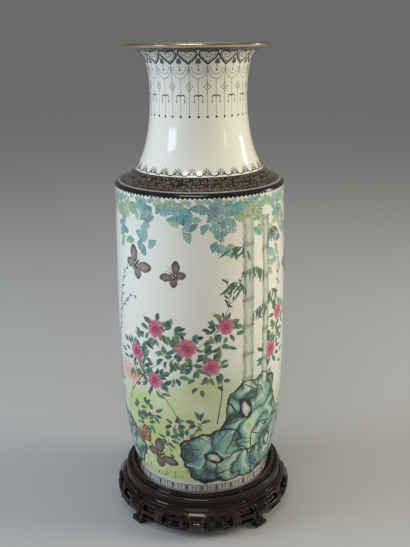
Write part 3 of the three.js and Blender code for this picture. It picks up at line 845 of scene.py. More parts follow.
def rock(enamel, ink, across, height, wide, tall, seed, holes, layer):
    """A weathered rock in blue-green washes with dark flowing streaks, a broken outline and worn holes."""
    anchor = place_at(across, height)
    lift = PAINT_LIFT * (1.6 + 0.9 * layer)
    rng = random.Random(seed)
    offset = Vector((seed * 3.7, seed * 1.3, 0))

    def reach(turn):
        way = Vector((math.cos(turn), math.sin(turn), 0))
        lumps = 0.3 * noise.noise(way * 1.5 + offset) + 0.13 * noise.noise(way * 3.6 + offset)
        return Vector((math.cos(turn) * wide, math.sin(turn) * tall)).length * (0.95 + lumps) * MM

    def wash(share, turn):
        place = Vector((math.cos(turn) * share * wide, math.sin(turn) * share * tall, 0)) * 0.03 + offset
        warp = Vector((noise.noise(place * 0.9), noise.noise(place * 0.9 + Vector((7, 3, 1))), 0)) * 1.5
        flow = place + warp
        streak = math.sin(flow.x * 4.6 - flow.y * 2.2 + 2.6 * noise.noise(flow * 1.1))
        fine = noise.noise(Vector((flow.x * 9.0, flow.y * 2.6, 1.7)))
        colour = mix(rgb(150, 192, 152), rgb(84, 140, 156), 0.5 + 0.6 * noise.noise(place * 1.6))
        colour = mix(colour, rgb(214, 222, 186), 0.7 * max(streak, 0) ** 2)
        dark = 0.85 * max(-streak, 0) ** 3 + 1.3 * max(fine, 0) * (0.55 - 0.45 * streak)
        dark += max(share - 0.84, 0) * 4.0
        return mix(colour, rgb(26, 34, 38), min(dark, 0.93))

    enamel.spot(anchor, (0, 0), reach, wash, 26, 90, lift)
    for _ in range(int(wide / 4)):
        turn, swirl, inner = rng.uniform(0, FULL_TURN), rng.uniform(-1.2, 1.2), rng.uniform(0.2, 0.5)
        path = []
        for i in range(11):
            way = turn + swirl * (i / 10) ** 1.5
            inwards = 0.93 - (0.93 - inner) * i / 10
            path.append(Vector((math.cos(way), math.sin(way))) * reach(way) * inwards)
        brush = rng.uniform(1.6, 4.2) * MM
        widths = [max(brush * math.sin(math.pi * (0.25 + 0.72 * i / 10)), 0.3 * MM) for i in range(11)]
        enamel.stroke(anchor, path, widths,
                      lambda share, side: mix(rgb(24, 32, 38), rgb(96, 142, 140),
                                              0.25 * share + 0.75 * side * side),
                      4, lift + PAINT_LIFT * 0.35)
    sides = 90
    rim = [Vector((math.cos(t), math.sin(t))) * reach(t) * 0.99
           for t in (FULL_TURN * s / sides for s in range(sides + 1))]
    widths = [(1.8 + 5.0 * abs(noise.noise(Vector((s * 0.35, seed, 0))))) * MM for s in range(sides + 1)]
    ink.line(anchor, rim, widths, INK, lift + PAINT_LIFT * 0.5, 4)
    for s in range(sides):
        if rng.random() < 0.55:
            ink.dot(anchor, rim[s] * rng.uniform(0.97, 1.03), rng.uniform(1.0, 2.2) * MM, INK, 6,
                    lift + PAINT_LIFT * 0.7)
    for x, y, size, lean in holes:
        middle = Vector((x, y)) * MM
        turn_by = Matrix.Rotation(lean, 2)
        around = [FULL_TURN * s / 22 for s in range(23)]
        shape = []
        for t in around:
            wave = 1 + 0.14 * math.sin(3 * t + seed)
            shape.append(middle + turn_by @ Vector((math.cos(t) * 0.52 * wave, math.sin(t))) * size * MM)
        inside = Enamel.outline_reach(shape, middle)
        enamel.spot(anchor, middle, inside,
                    lambda share, turn: mix(rgb(228, 226, 212), rgb(120, 132, 128), share), 3, 22,
                    lift + PAINT_LIFT * 0.6)
        ink.line(anchor, shape, [size * (0.5 + 0.22 * math.sin(4 * t)) * MM for t in around], INK,
                 lift + PAINT_LIFT, 4)


def leaf_spray(enamel, across, height, count, spread, rng, colours=GREENS):
    """Dark green leaves round a bloom, in two layers."""
    for k in range(count):
        heading = FULL_TURN * k / count + rng.uniform(-0.3, 0.3)
        out = toward(heading) * rng.uniform(0.7, 1.15)
        anchor = place_at(across + out.x * spread, height + out.y * spread * 0.9)
        colour = rng.choice(colours)
        blade(enamel, anchor, (0, 0), heading + rng.uniform(-0.6, 0.6), rng.uniform(9, 14) * MM,
              rng.uniform(5.5, 8) * MM,
              mix(colour, INK, 0.3), mix(colour, WHITE, rng.uniform(0.05, 0.35)), rng.uniform(-0.2, 0.2))


def leafy_twig(enamel, points, rng):
    """A thin dark twig with small dark leaves on both its sides."""
    stem(enamel, points, 1.3, rgb(60, 52, 46), 0.4)
    for a, b in zip(points, points[1:]):
        along = Vector(b) - Vector(a)
        for k in range(max(int(along.length / 7), 1)):
            here = Vector(a) + along * (k + rng.random()) / max(int(along.length / 7), 1)
            side = rng.choice((-1, 1))
            heading = math.atan2(along.x, along.y) + side * rng.uniform(0.5, 1.1)
            blade(enamel, place_at(*here), (0, 0), heading, rng.uniform(5, 8) * MM, 3.1 * MM,
                  rgb(48, 60, 54), rgb(92, 112, 96), rng.uniform(-0.1, 0.1))


def paint_canopy(enamel, ink):
    """Boughs of fan-shaped leaves that hang from the shoulder all the way round."""
    rng = random.Random(11)
    boughs = (
        ((-160, 420), (-128, 398), (-112, 362)), ((-92, 420), (-74, 400), (-84, 352)),
        ((-40, 420), (-30, 402), (-12, 380)),
        ((12, 420), (28, 396), (22, 352)), ((58, 420), (80, 392), (112, 362), (118, 322)),
        ((118, 420), (128, 392), (152, 362)),
        ((186, 420), (196, 394), (214, 380)), ((240, 420), (262, 396), (258, 352)),
        ((300, 420), (318, 400), (336, 388)),
        ((-216, 420), (-200, 396), (-204, 366)), ((-290, 420), (-270, 400), (-262, 356)),
        ((222, 420), (232, 398), (236, 362)),
        ((342, 420), (352, 392), (344, 350)), ((-340, 420), (-330, 396), (-320, 366)),
        ((282, 420), (290, 404), (284, 374)), ((-184, 420), (-178, 398), (-172, 372)),
    )
    for bough in boughs:
        stem(ink, bough, 1.9, rgb(82, 66, 54), 0.4)
    for bough in boughs:
        for a, b in zip(bough, bough[1:]):
            for k in range(11):
                share = k / 11
                across = a[0] + (b[0] - a[0]) * share + rng.uniform(-14, 14)
                height = min(a[1] + (b[1] - a[1]) * share + rng.uniform(-10, 10), 419)
                canopy_leaf(enamel, across, height, rng, 1.3)
    for low, high, count, gap in ((400, 410, 84, 0.02), (409, 421, 112, -1)):
        for k in range(count):
            across = -WAY_ROUND / 2 + WAY_ROUND * k / count + rng.uniform(-4, 4)
            if noise.noise(Vector((across * 0.025, 0.3, low))) > gap:
                canopy_leaf(enamel, across, rng.uniform(low, high), rng, 0.9)
    fringe = 150
    for k in range(fringe):
        across = -WAY_ROUND / 2 + WAY_ROUND * k / fringe + rng.uniform(-3, 3)
        colour = mix(rng.choice(TEALS + LIMES), WHITE, rng.uniform(0.1, 0.4))
        fan_leaf(enamel, place_at(across, rng.uniform(414.5, 418)), rng.uniform(-1.7, 1.7),
                 rng.uniform(5.5, 7) * MM, colour, rng)


def canopy_leaf(enamel, across, height, rng, lean):
    """One leaf of the boughs, teal or yellow-green by its place."""
    drift = noise.noise(Vector((across * 0.03, height * 0.05, 2.2)))
    colour = mix(rng.choice(TEALS if drift > -0.02 else LIMES), WHITE, rng.uniform(0, 0.32))
    longest = bpy.context.scene.vase_settings.canopy_leaf
    fan_leaf(enamel, place_at(across, height), math.pi + rng.uniform(-lean, lean),
             rng.uniform(0.67, 1) * longest, colour, rng)


def paint_garden(leaves, blooms, rocks, ink):
    """A generic garden: bamboo, rocks, rose-pink chrysanthemums, asters, twigs and butterflies."""
    rng = random.Random(5)
    for across, low, high, width in ((64, 140, 404, 17), (94, 120, 396, 12), (-232, 40, 400, 15),
                                     (-262, 40, 392, 11)):
        culm(rocks, ink, across, low, high, width, rng)
    spray_rng = random.Random(19)
    for across, height, side in (
        (66, 352, -1), (60, 306, -1), (70, 268, 1), (96, 368, 1), (92, 322, -1), (96, 284, 1),
        (-230, 366, 1),
        (-236, 318, 1), (-228, 262, 1), (-232, 212, -1), (-264, 344, -1), (-260, 290, -1), (-264, 236, -1),
        (-230, 160, 1),
    ):
        bamboo_spray(leaves, ink, across, height, side, spray_rng)
    for points in (
        ((-150, 30), (-128, 120), (-96, 210), (-62, 246)), ((-112, 150), (-70, 196), (-16, 224), (30, 262)),
        ((-20, 60), (-34, 130), (-62, 172)), ((20, 120), (26, 180), (8, 218)),
        ((60, 150), (104, 200), (130, 262)),
        ((170, 30), (186, 120), (206, 200), (248, 250)), ((230, 40), (250, 110), (296, 180)),
        ((-330, 30), (-316, 120), (-290, 200)),
    ):
        stem(ink, points, 2.2, BROWN, 0.45)
    for points in (
        ((-172, 180), (-142, 236), (-128, 300), (-108, 336)), ((-134, 262), (-112, 284), (-96, 290)),
        ((18, 250), (36, 286), (32, 322)), ((34, 286), (50, 300), (54, 326)),
        ((112, 270), (126, 300), (124, 336)),
        ((160, 230), (172, 280), (196, 310)), ((-300, 240), (-316, 290), (-306, 330)),
        ((250, 280), (272, 310), (300, 322)),
    ):
        leafy_twig(ink, points, rng)
    bloom_places = (
        (-96, 212, 14), (-62, 252, 14), (-66, 178, 13), (-20, 230, 15.5), (12, 204, 13.5), (32, 258, 12),
        (126, 258, 13),
        (106, 210, 14), (206, 204, 14), (246, 252, 13), (294, 184, 14), (-290, 204, 14), (-322, 150, 13),
        (340, 120, 13),
        (184, 250, 13), (262, 218, 14), (230, 166, 13), (320, 232, 14), (352, 176, 13), (-344, 232, 13),
        (-306, 256, 12), (-188, 214, 13), (-168, 164, 13))
    for across, height, size in bloom_places:
        leaf_spray(leaves, across + rng.uniform(-8, 8), height - 10, 10, size * 1.7, rng)
        leaf_spray(leaves, across, height - 2, 13, size * 1.05, rng)
    for across, height in ((-84, 230), (-44, 214), (-40, 250), (-8, 206), (-88, 190), (20, 232), (-36, 192),
                           (116, 234)):
        leaf_spray(leaves, across, height, 9, 9, rng)
    for across, height, size in bloom_places:
        chrysanthemum(blooms, place_at(across, height), size * MM, rng)
    for layer, *values in (
        (0, 78, 118, 52, 66, 3, ((-16, 18, 15, 0.3), (20, -30, 12, -0.5))),
        (1, 14, 66, 48, 44, 7, ((2, 0, 13, 1.0),)),
        (2, 118, 66, 46, 40, 12, ((-6, 4, 12, 0.2),)), (3, 62, 46, 40, 24, 31, ()),
        (0, -140, 60, 40, 44, 21, ((8, 4, 13, 0.2),)),
        (1, -196, 76, 46, 54, 9, ((6, 10, 13, 0.3),)), (2, -226, 44, 40, 22, 14, ()),
        (0, 236, 70, 54, 46, 17, ((-8, 4, 14, -0.4),)),
        (1, 300, 52, 38, 30, 26, ()), (2, 200, 46, 34, 22, 29, ()),
        (1, -318, 84, 44, 56, 41, ((4, 8, 14, 0.3),)),
        (2, -352, 48, 40, 26, 45, ()), (3, -286, 44, 34, 24, 52, ()),
    ):
        rock(rocks, ink, *values, layer)
    for across, height, size in (
        (-38, 116, 6), (-22, 98, 5.5), (-50, 92, 5.6), (-6, 122, 5), (-86, 108, 5.5), (-98, 126, 5),
        (-72, 128, 4.6), (152, 112, 5.5), (166, 96, 5), (-168, 130, 5.5), (206, 112, 5.5), (288, 96, 5.5),
    ):
        leaf_spray(leaves, across, height, 7, 5.5, rng, GREENS[:3])
        leafy_twig(ink, ((across, height), (across + rng.uniform(-8, 8), height - 34)), rng)
        aster(blooms, ink, place_at(across, height), size * MM, rgb(236, 214, 176), rgb(190, 120, 60))
    for across, height, heading, size, wing in (
        (-92, 334, 0.7, 22, rgb(138, 120, 100)), (-34, 326, -0.8, 17, rgb(112, 92, 76)),
        (-66, 62, 1.0, 24, rgb(98, 74, 58)),
        (-98, 84, -0.5, 18, rgb(176, 88, 54)), (168, 318, -0.5, 22, rgb(138, 120, 100)),
        (-300, 296, 0.9, 20, rgb(176, 88, 54)),
        (262, 324, 0.6, 21, rgb(112, 92, 76)), (346, 292, -0.7, 19, rgb(176, 88, 54)),
        (-190, 318, 0.5, 20, rgb(138, 120, 100)), (168, 70, -0.8, 20, rgb(98, 74, 58)),
    ):
        butterfly(blooms, ink, place_at(across, height), heading, size * MM, wing)
    grass_blades = 190
    for _ in range(grass_blades):
        across, height = rng.uniform(-WAY_ROUND / 2, WAY_ROUND / 2), 24 + 26 * rng.random() ** 1.6
        blade(leaves, place_at(across, height), (0, 0), rng.uniform(-0.5, 0.5), rng.uniform(6, 12) * MM,
              1.7 * MM, rgb(84, 104, 62), rgb(140, 156, 84), rng.uniform(-0.2, 0.2))


# The stand
def ring_section():
    """The moulded ring's section as (radius, height), from its inner lower corner outwards and up."""
    ledge = LEDGE_RADIUS
    torus = (110.8, 53.2)
    return [
        Vector((RING_INNER_RADIUS, RING_BOTTOM)), *arc((ledge - 0.9, RING_BOTTOM + 0.9), 0.9, -90, 0, 5),
        *arc((ledge - 0.9, RING_BOTTOM + 1.3), 0.9, 0, 90, 5),
        Vector((ledge - 1.9, RING_BOTTOM + 2.1)), Vector((ledge - 2.2, RING_BOTTOM + 1.5)),
        Vector((ledge - 2.9, RING_BOTTOM + 1.7)),
        *bezier([(ledge - 2.9, RING_BOTTOM + 1.7), (ledge - 4.6, RING_BOTTOM + 3.4), (ledge - 6.2, 46.4),
                 (ledge - 6.6, 48.6)], 9),
        Vector((torus[0] + 0.4, 48.9)), *arc(torus, 3.9, -74, 96, 16),
        Vector((109.3, 56.9)), Vector((108.4, 56.6)), Vector((107.9, 57.2)),
        *bezier([(107.9, 57.2), (107.2, 58.2), (106.8, 59.6), (107, 60.7)], 5),
        *arc((105.5, 60.9), 1.5, 0, 92, 7), *arc((104.4, 61.0), 1.4, 92, 180, 6),
        Vector((SEAT_INNER_RADIUS, SEAT_TOP)), Vector((GROOVE_RADIUS, SEAT_TOP)),
        Vector((GROOVE_RADIUS, GROOVE_BOTTOM)), Vector((RING_INNER_RADIUS, GROOVE_BOTTOM)),
    ]


def smooth(share):
    share = min(max(share, 0), 1)
    return share * share * (3 - 2 * share)


def half_round(distance, width):
    """The height of a bead of the given width, as a share, at a distance from its middle line."""
    share = abs(distance) / (width / 2)
    return math.sqrt(1 - share * share) if share < 1 else 0


def box_distance(place, centre, half, corner):
    """How far a place lies outside a box with rounded corners. It is below zero inside."""
    x = abs(place[0] - centre[0]) - half[0] + corner
    y = abs(place[1] - centre[1]) - half[1] + corner
    return math.hypot(max(x, 0), max(y, 0)) + min(max(x, y), 0) - corner


class ApronCarving:
    """The apron's carving. A place is (across, height) in millimetres, from the middle along the bulge."""
    LOBE = (30.85, 25.9)
    LOBE_HALF = (21.2, 11.2)
    SLOT_ACROSS = 74.8
    SLOT_HALF_WIDTH = 11
    SLOTS = ((32.6, 3.7), (20.2, 3.7))
    CURL = (8.6, 21.8)
    CURL_RADIUS = 6.6

    def lower_edge(self, across):
        rise = 3.4 * max(1 - ((across - 56.5) / 9) ** 2, 0)
        rise += 2.0 * max(1 - (across / 7) ** 2, 0)
        rise += 2.4 * smooth((across - 82) / 6)
        return APRON_BOTTOM + rise

    def field(self, across, height):
        return box_distance((across, height), self.LOBE, self.LOBE_HALF, 10.2)

    def cloud(self, across, height):
        """Distance from the outline of the cloud head in the field, below zero inside it."""
        x = abs(across - self.LOBE[0])
        curl = math.hypot(x - self.CURL[0], height - self.CURL[1]) - self.CURL_RADIUS
        foot = box_distance((x, height), (0, 17.8), (13.2, 2.6), 2.4)
        tail = math.hypot((x - 15.6) * 1.1, height - 20.4) - 3.0
        return min(curl, foot, tail)

    def opening(self, across, height):
        """Distance from the pierced openings, below zero inside them."""
        window = max(self.field(across, height) + 1.7, 23.6 - height, 0.7 - self.cloud(across, height))
        slot = min(box_distance((across, height), (self.SLOT_ACROSS, middle), (self.SLOT_HALF_WIDTH, half),
                                3.2)
                   for middle, half in self.SLOTS)
        return min(window, slot)

    def relief(self, across, height):
        """How far the carved face stands out from the plain bulge."""
        field = self.field(across, height)
        proud = 0.9 * half_round(field - 1.5, 2.4) * smooth((across - 2) / 5)
        sunk = -3.2 * smooth(-(field + 0.1) / 1.3)
        cloud = self.cloud(across, height)
        if field < 0 and cloud < 0.4:
            sunk += 3.9 * smooth((0.4 - cloud) / 2.2)
            sunk -= self.spiral(across, height)
        x, y = across - self.LOBE[0], height - self.LOBE[1]
        if x > 12:
            proud += 1.5 * half_round(field - 6.0, 3.6) * smooth((x - 16) / 4)
            for end in (-8.4, 8.4):
                curl = math.hypot(x - 27.4, y - end)
                proud = max(proud, 1.6 * half_round(curl, 6.4) - 1.2 * half_round(curl - 1.1, 1.3))
            leaf = math.hypot((x - 30.0) * 0.9, y * 0.32)
            proud = max(proud, 1.3 * half_round(leaf, 4.2))
        for middle, half in self.SLOTS:
            slot = box_distance((across, height), (self.SLOT_ACROSS, middle), (self.SLOT_HALF_WIDTH, half),
                                3.2)
            proud = max(proud, 0.55 * half_round(slot - 0.9, 1.8))
        if across < 8.5:
            bar = box_distance((across, height), (0, 26.2), (6.2, 2.4), 2.2)
            proud = max(proud, 1.3 * smooth(-bar / 1.6))
            sunk -= 0.5 * half_round(bar - 1.1, 1.8)
        edge = height - self.lower_edge(across)
        proud = max(proud, 0.8 * half_round(edge - 1.1, 2.2))
        return proud + sunk

    def spiral(self, across, height):
        """The groove that winds into each curl of the cloud head, round a small round eye."""
        side = 1 if across > self.LOBE[0] else -1
        x = (across - self.LOBE[0]) * side - self.CURL[0]
        y = height - self.CURL[1]
        reach = math.hypot(x, y)
        turn = math.atan2(y, x) % FULL_TURN
        groove = 0.0
        for lap in range(2):
            groove = max(groove, half_round(reach - (1.7 + 1.55 * (turn / FULL_TURN + lap)), 1.25))
        eye = half_round(reach, 2.2)
        return 1.25 * groove * smooth((self.CURL_RADIUS - reach) / 0.8) - 0.5 * eye


def apron_face(height):
    """The bulge's radius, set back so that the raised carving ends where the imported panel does."""
    return plain_bulge(height) - 1.3


def plain_bulge(height):
    low, middle = APRON_BOTTOM, APRON_BULGE_HEIGHT
    if height < middle:
        share = max((height - low) / (middle - low), 0)
        ends = (APRON_BULGE_RADIUS - APRON_TUCK, APRON_BULGE_RADIUS + 0.6, APRON_BULGE_RADIUS)
        return ends[0] * (1 - share) ** 2 + 2 * ends[1] * share * (1 - share) + ends[2] * share ** 2
    share = min((height - middle) / (APRON_TOP - middle), 1)
    draw_in = 0.25 * share + 0.75 * share ** 2.6
    return APRON_BULGE_RADIUS - (APRON_BULGE_RADIUS - LEDGE_RADIUS - 1) * draw_in


def carved_apron(name, columns, rows, wall):
    """The front apron: a fine sheet, pushed in and out by the carving, pierced and given its thickness."""
    carving = ApronCarving()
    half_angle = math.radians(39.6)
    reach = half_angle * APRON_BULGE_RADIUS
    places = []
    for r in range(rows + 1):
        for c in range(columns + 1):
            across = reach * (2 * c / columns - 1)
            low = carving.lower_edge(abs(across))
            places.append(Vector((across, low + (APRON_TOP - low) * r / rows)))
    cell = 2 * reach / columns
    step = 0.05
    for place in places:
        x, y = abs(place.x), place.y
        gap = carving.opening(x, y)
        if abs(gap) < 0.62 * cell:
            slope = Vector((carving.opening(x + step, y) - gap, carving.opening(x, y + step) - gap)) / step
            if slope.length > 0.3:
                move = slope.normalized() * gap
                place.x -= math.copysign(1, place.x) * move.x
                place.y -= move.y
    points = []
    for place in places:
        radius = (apron_face(place.y) + carving.relief(abs(place.x), place.y)) * MM
        angle = place.x / APRON_BULGE_RADIUS
        points.append((radius * math.sin(angle), -radius * math.cos(angle), place.y * MM))
    faces = []
    width = columns + 1
    for r in range(rows):
        for c in range(columns):
            corners = (r * width + c, r * width + c + 1, (r + 1) * width + c + 1, (r + 1) * width + c)
            middle = sum((places[i] for i in corners), Vector((0, 0))) / 4
            if carving.opening(abs(middle.x), middle.y) > -0.02:
                faces.append(corners)
    apron = add_piece(name, points, [], faces)
    bpy.ops.object.mode_set(mode="EDIT")
    bpy.ops.mesh.select_all(action="SELECT")
    bpy.ops.mesh.delete_loose(use_verts=True, use_edges=True, use_faces=False)
    bpy.ops.object.mode_set(mode="OBJECT")
    apply_modifier(apron, "SOLIDIFY", thickness=wall, offset=-1)
    bpy.ops.object.shade_smooth_by_angle(angle=math.radians(50))
    # Painted shade, darkest on the back face and inside the piercings and darker in the sunk fields; the
    # raised carving gets the worn colour as worn wood and a painted sheen.
    wear_sheen_and_shade = []
    for vertex in apron.data.vertices:
        x, y, z = vertex.co / MM
        across = abs(math.atan2(x, -y)) * APRON_BULGE_RADIUS
        relief = carving.relief(across, z)
        depth = apron_face(z) + relief - math.hypot(x, y)
        wear_sheen_and_shade.append(-1.0 if depth > 1.5 else min(max(relief / 4, -0.8), 0.3))
    set_wear_sheen_and_shade(apron, wear_sheen_and_shade)
    return apron


def set_wear_sheen_and_shade(piece, values):
    """Stores a value for each point: above zero, how much worn colour and painted sheen it shows; below
    zero, how much painted shade darkens and dulls it.
    """
    layer = piece.data.attributes.new("wear_sheen_and_shade", "FLOAT", "POINT")
    layer.data.foreach_set("value", values)


LEG_SECTIONS = (
    # height, outer radius, inner radius, half width
    (39.6, 119.6, 101.6, 11.4), (38.6, 122.6, 102.2, 11.5), (36.5, 127.0, 103.2, 11.5),
    (33, 130.2, 104.8, 11.5), (29, 131.4, 106.6, 11.4), (25.5, 131.2, 108.2, 11.0),
    (22, 129.8, 109.6, 9.4), (18.5, 127.0, 110.8, 7.6), (15.5, 124.6, 111.6, 6.7),
    (12.8, 123.2, 112.2, 6.4), (10.6, 123.4, 112.8, 6.8), (9.4, 125.6, 113.2, 7.8),
    (7.6, 127.2, 113.6, 8.7), (5, 127.6, 113.8, 9.1), (2.6, 127.1, 114.0, 9.0),
    (1.0, 126.0, 114.2, 8.6), (0.0, 124.4, 114.8, 7.8),
)


def cabriole_leg(name):
    """The front leg: rounded sections from the ring over the knee down to a scrolled foot."""
    sides = 28
    points = []
    for height, outer, inner, half in LEG_SECTIONS:
        middle, depth = (outer + inner) / 2, (outer - inner) / 2
        for s in range(sides):
            turn = FULL_TURN * s / sides
            side_power, face_power = (0.42, 0.62) if math.cos(turn) > 0 else (0.3, 0.3)
            across = half * math.copysign(abs(math.sin(turn)) ** side_power, math.sin(turn))
            out = middle + depth * math.copysign(abs(math.cos(turn)) ** face_power, math.cos(turn))
            points.append((across * MM, -out * MM, height * MM))
    leg = lofted(name, points, sides)
    apply_modifier(leg, "SUBSURF", levels=2, render_levels=2)
    scrolls = [foot_scroll(side) for side in (-1, 1)]
    leg = join([leg, *scrolls])
    leg.name = name
    bpy.ops.object.shade_smooth_by_angle(angle=math.radians(60))
    return leg


def foot_scroll(side):
    """The carved volute on one side of a foot: a rising spiral with a button in its middle."""
    centre = Vector((side * 7.6, -122.6, 4.9))
    steps, ring = 44, 6
    points = []
    for i in range(steps + 1):
        share = i / steps
        turn = math.radians(-60 + 560 * share)
        reach = 4.1 - 3.2 * share
        thick = 0.95 - 0.35 * share
        middle = centre + Vector((0, -reach * math.cos(turn), reach * math.sin(turn)))
        outward = Vector((0, -math.cos(turn), math.sin(turn)))
        for s in range(ring):
            around = FULL_TURN * s / ring
            sideways = Vector((side * thick * 1.6 * math.sin(around), 0, 0))
            points.append((middle + outward * (thick * math.cos(around)) + sideways) * MM)
    return lofted("foot_scroll", points, ring)


def four_copies(first, label, replaced, angle):
    """Copies a piece round the stand, each with its own mesh, and hides the CAD nodes that they replace."""
    pieces = []
    for i in range(4):
        mesh = first.data.copy()
        mesh.transform(Matrix.Rotation(angle + i * QUARTER, 4, "Z"))
        piece = bpy.data.objects.new(f"{label}_{i + 1}", mesh)
        bpy.context.collection.objects.link(piece)
        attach(piece, "stand")
        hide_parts(f"{replaced}_{i + 1}")
        pieces.append(piece)
    pick(first)
    bpy.ops.object.delete()
    return pieces


# The operators
def length_setting(name, description, low, high, default):
    return bpy.props.FloatProperty(
        name=name, description=description, unit="LENGTH", min=low, max=high, precision=5, default=default)


def colour_setting(name, description, *paint):
    return bpy.props.FloatVectorProperty(
        name=name, description=description, subtype="COLOR", size=3, min=0, max=1, default=rgb(*paint))


class VaseSettings(bpy.types.PropertyGroup):
    paint_thickness: length_setting(
        "Paint thickness", "Thickness of the enamel strokes, glaze side included", 0.0001, 0.0005, 0.00022)
    canopy_leaf: length_setting("Bough leaf", "Length of the longest leaves on the boughs", 0.006, 0.02,
                                0.0135)
    apron_wall: length_setting("Apron wall", "Thickness of the wood of the pierced aprons", 0.003, 0.008,
                               0.0056)
    lamp_level: bpy.props.FloatProperty(
        name="Lamp level", description="Share of the lamps' full strength",
        subtype="FACTOR", min=0, max=1, default=1)
    glaze: colour_setting("Glaze", "Colour of the clear porcelain glaze", 230, 226, 209)
    ground: colour_setting("Ground wash", "Colour of the soft wash over the garden's ground", 190, 198, 122)
    border_dark: colour_setting("Border ground", "Dark colour of the shoulder border", 44, 32, 26)
    border_light: colour_setting("Border scrolls", "Light colour of the shoulder border", 146, 128, 106)
    wood_dark: colour_setting("Dark wood", "Darker tone of the stand's grain", 14, 7, 5)
    wood_light: colour_setting("Light wood", "Lighter tone of the stand's grain", 40, 19, 14)
    # The worn colour shows on the stand's crests both as worn wood and as a painted sheen.
    wood_wear_and_sheen: colour_setting("Worn wood", "Colour of the stand's rubbed edges", 84, 54, 43)
    plain_dark: colour_setting("Plain wood, dark", "Darker tone of the unpolished wood", 56, 32, 22)
    plain_light: colour_setting("Plain wood, light", "Lighter tone of the unpolished wood", 98, 62, 42)


class VASE_OT_throw_body(bpy.types.Operator):
    """Turn the porcelain body, glaze it and gild its lip"""
    bl_idname = "vase.throw_body"
    bl_label = "Throw the body"

    def execute(self, context):
        settings = context.scene.vase_settings
        round_lip = LIP_THICKNESS / 2
        outside = vase_wall(inset=0, steps=14)
        ring = FOOT_RADIUS - FOOT_RING_WIDTH
        profile = [
            Vector((0, FOOT_RECESS)), Vector((ring - 4, FOOT_RECESS)),
            Vector((ring - 1.5, FOOT_RECESS - 1.5)), Vector((ring, 0.8)), Vector((ring + 1, 0)),
            *outside[:-1],
            *arc((MOUTH_RADIUS - round_lip, VASE_HEIGHT - round_lip), round_lip, -80, 84, 10),
            *reversed(vase_wall(inset=WALL, steps=8)[:-1]),
            Vector((0, FOOT_RECESS + BASE_THICKNESS)),
        ]
        dense = []
        for a, b in zip(profile, profile[1:]):
            parts = max(int((b - a).length / 5), 1)
            dense += [a.lerp(b, i / parts) for i in range(parts)]
        dense.append(profile[-1])
        body = turned("porcelain_body", [Vector((p.x, p.y + FOOT_Z / MM)) for p in dense], closed=False)
        for finish in (
            ("porcelain_glaze", None, 9, 0.07, (26, 0.00035),
             {"Roughness": 0.11, "Coat Weight": 0.7, "Coat Roughness": 0.05}),
            ("burnished_gilt", (0.8, 0.62, 0.4, 1), 70, 0.5, (300, 0.0001),
             {"Metallic": 1, "Roughness": 0.26}),
            ("unglazed_foot", (0.62, 0.52, 0.4, 1), 40, 0.3, (900, 0.0002), {"Roughness": 0.75}),
        ):
            body.data.materials.append(fired_material(*finish))
        gilt_from = FOOT_Z + (VASE_HEIGHT - LIP_THICKNESS + 0.2) * MM
        for face in body.data.polygons:
            reach = math.hypot(face.center.x, face.center.y) / MM
            if face.center.z > gilt_from and reach > MOUTH_RADIUS - LIP_THICKNESS:
                face.material_index = 1
            elif face.center.z < FOOT_Z + 0.9 * MM:
                face.material_index = 2
        self.wash(body, settings)
        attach(body, "vase")
        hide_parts("vase_body")
        return {"FINISHED"}

    def wash(self, body, settings):
        """Soft washes in the glaze: yellow-green ground, bluish haze and pink round the blooms."""
        paint = body.data.attributes.new("paint", "FLOAT_COLOR", "POINT")
        glaze, ground = tuple(settings.glaze), tuple(settings.ground)
        mist, blush = rgb(196, 212, 204), rgb(236, 214, 204)
        colours = []
        for vertex in body.data.vertices:
            x, y, z = vertex.co
            height = (z - FOOT_Z) / MM
            across = (math.atan2(x, -y) - VIEW_ANGLE) * BODY_RADIUS
            across = (across + WAY_ROUND / 2) % WAY_ROUND - WAY_ROUND / 2
            outer = math.hypot(x, y) / MM > BODY_RADIUS - 22 and 22 < height < 422
            colour = glaze
            if outer:
                cloud = noise.noise(Vector((across * 0.02, height * 0.03, 0.4)))
                fine = noise.noise(Vector((across * 0.07, height * 0.2, 4.4)))
                edge = 168 + 22 * math.sin(across * 0.021 + 1.2) + 20 * cloud
                low = 1 - 1 / (1 + math.exp(-(height - edge) / 7))
                colour = mix(colour, ground, low * (0.84 + 0.35 * cloud + 0.2 * fine))
                haze = math.exp(-((across - 80) / 60) ** 2 - ((height - 150) / 70) ** 2)
                colour = mix(colour, mist, 0.6 * haze)
                glow = math.exp(-((across + 30) / 90) ** 2 - ((height - 240) / 50) ** 2)
                colour = mix(colour, blush, 0.25 * glow)
                bank = math.exp(-((across + 112) / 30) ** 4 - ((height - 176) / 15) ** 4)
                colour = mix(colour, rgb(206, 104, 62), 0.75 * bank * (0.8 + 0.4 * fine))
            colours += [*colour, 1.0]
        paint.data.foreach_set("color", colours)


class VASE_OT_paint_borders(bpy.types.Operator):
    """Paint the traditional borders on the neck, the shoulder and the foot"""
    bl_idname = "vase.paint_borders"
    bl_label = "Paint the borders"

    def execute(self, context):
        settings = context.scene.vase_settings
        enamel = bpy.data.materials["overglaze_enamel"]
        for name, borders in (
            ("neck_border", (paint_neck, paint_sprigs)), ("shoulder_edge", (paint_shoulder,)),
            ("foot_border", (paint_key_fret,)),
        ):
            drawing = Enamel()
            for border in borders:
                border(drawing)
            drawing.finish(name, enamel)
        band = Enamel()
        band.belt(430.0, 443.8, tuple(settings.border_dark), rows=8, lift=PAINT_LIFT)
        diaper = diaper_material(tuple(settings.border_dark), tuple(settings.border_light))
        piece = band.finish("shoulder_border", diaper)
        layer = piece.data.uv_layers.new(name="band")
        cells_round, cell = 128, 5.0
        for face in piece.data.polygons:
            middle = math.atan2(face.center.x, -face.center.y)
            for loop in face.loop_indices:
                x, y, z = piece.data.vertices[piece.data.loops[loop].vertex_index].co
                angle = math.atan2(x, -y)
                angle += FULL_TURN * round((middle - angle) / FULL_TURN)
                reach = math.hypot(x, y) / MM
                layer.data[loop].uv = (angle / FULL_TURN * cells_round, reach / cell)
        return {"FINISHED"}


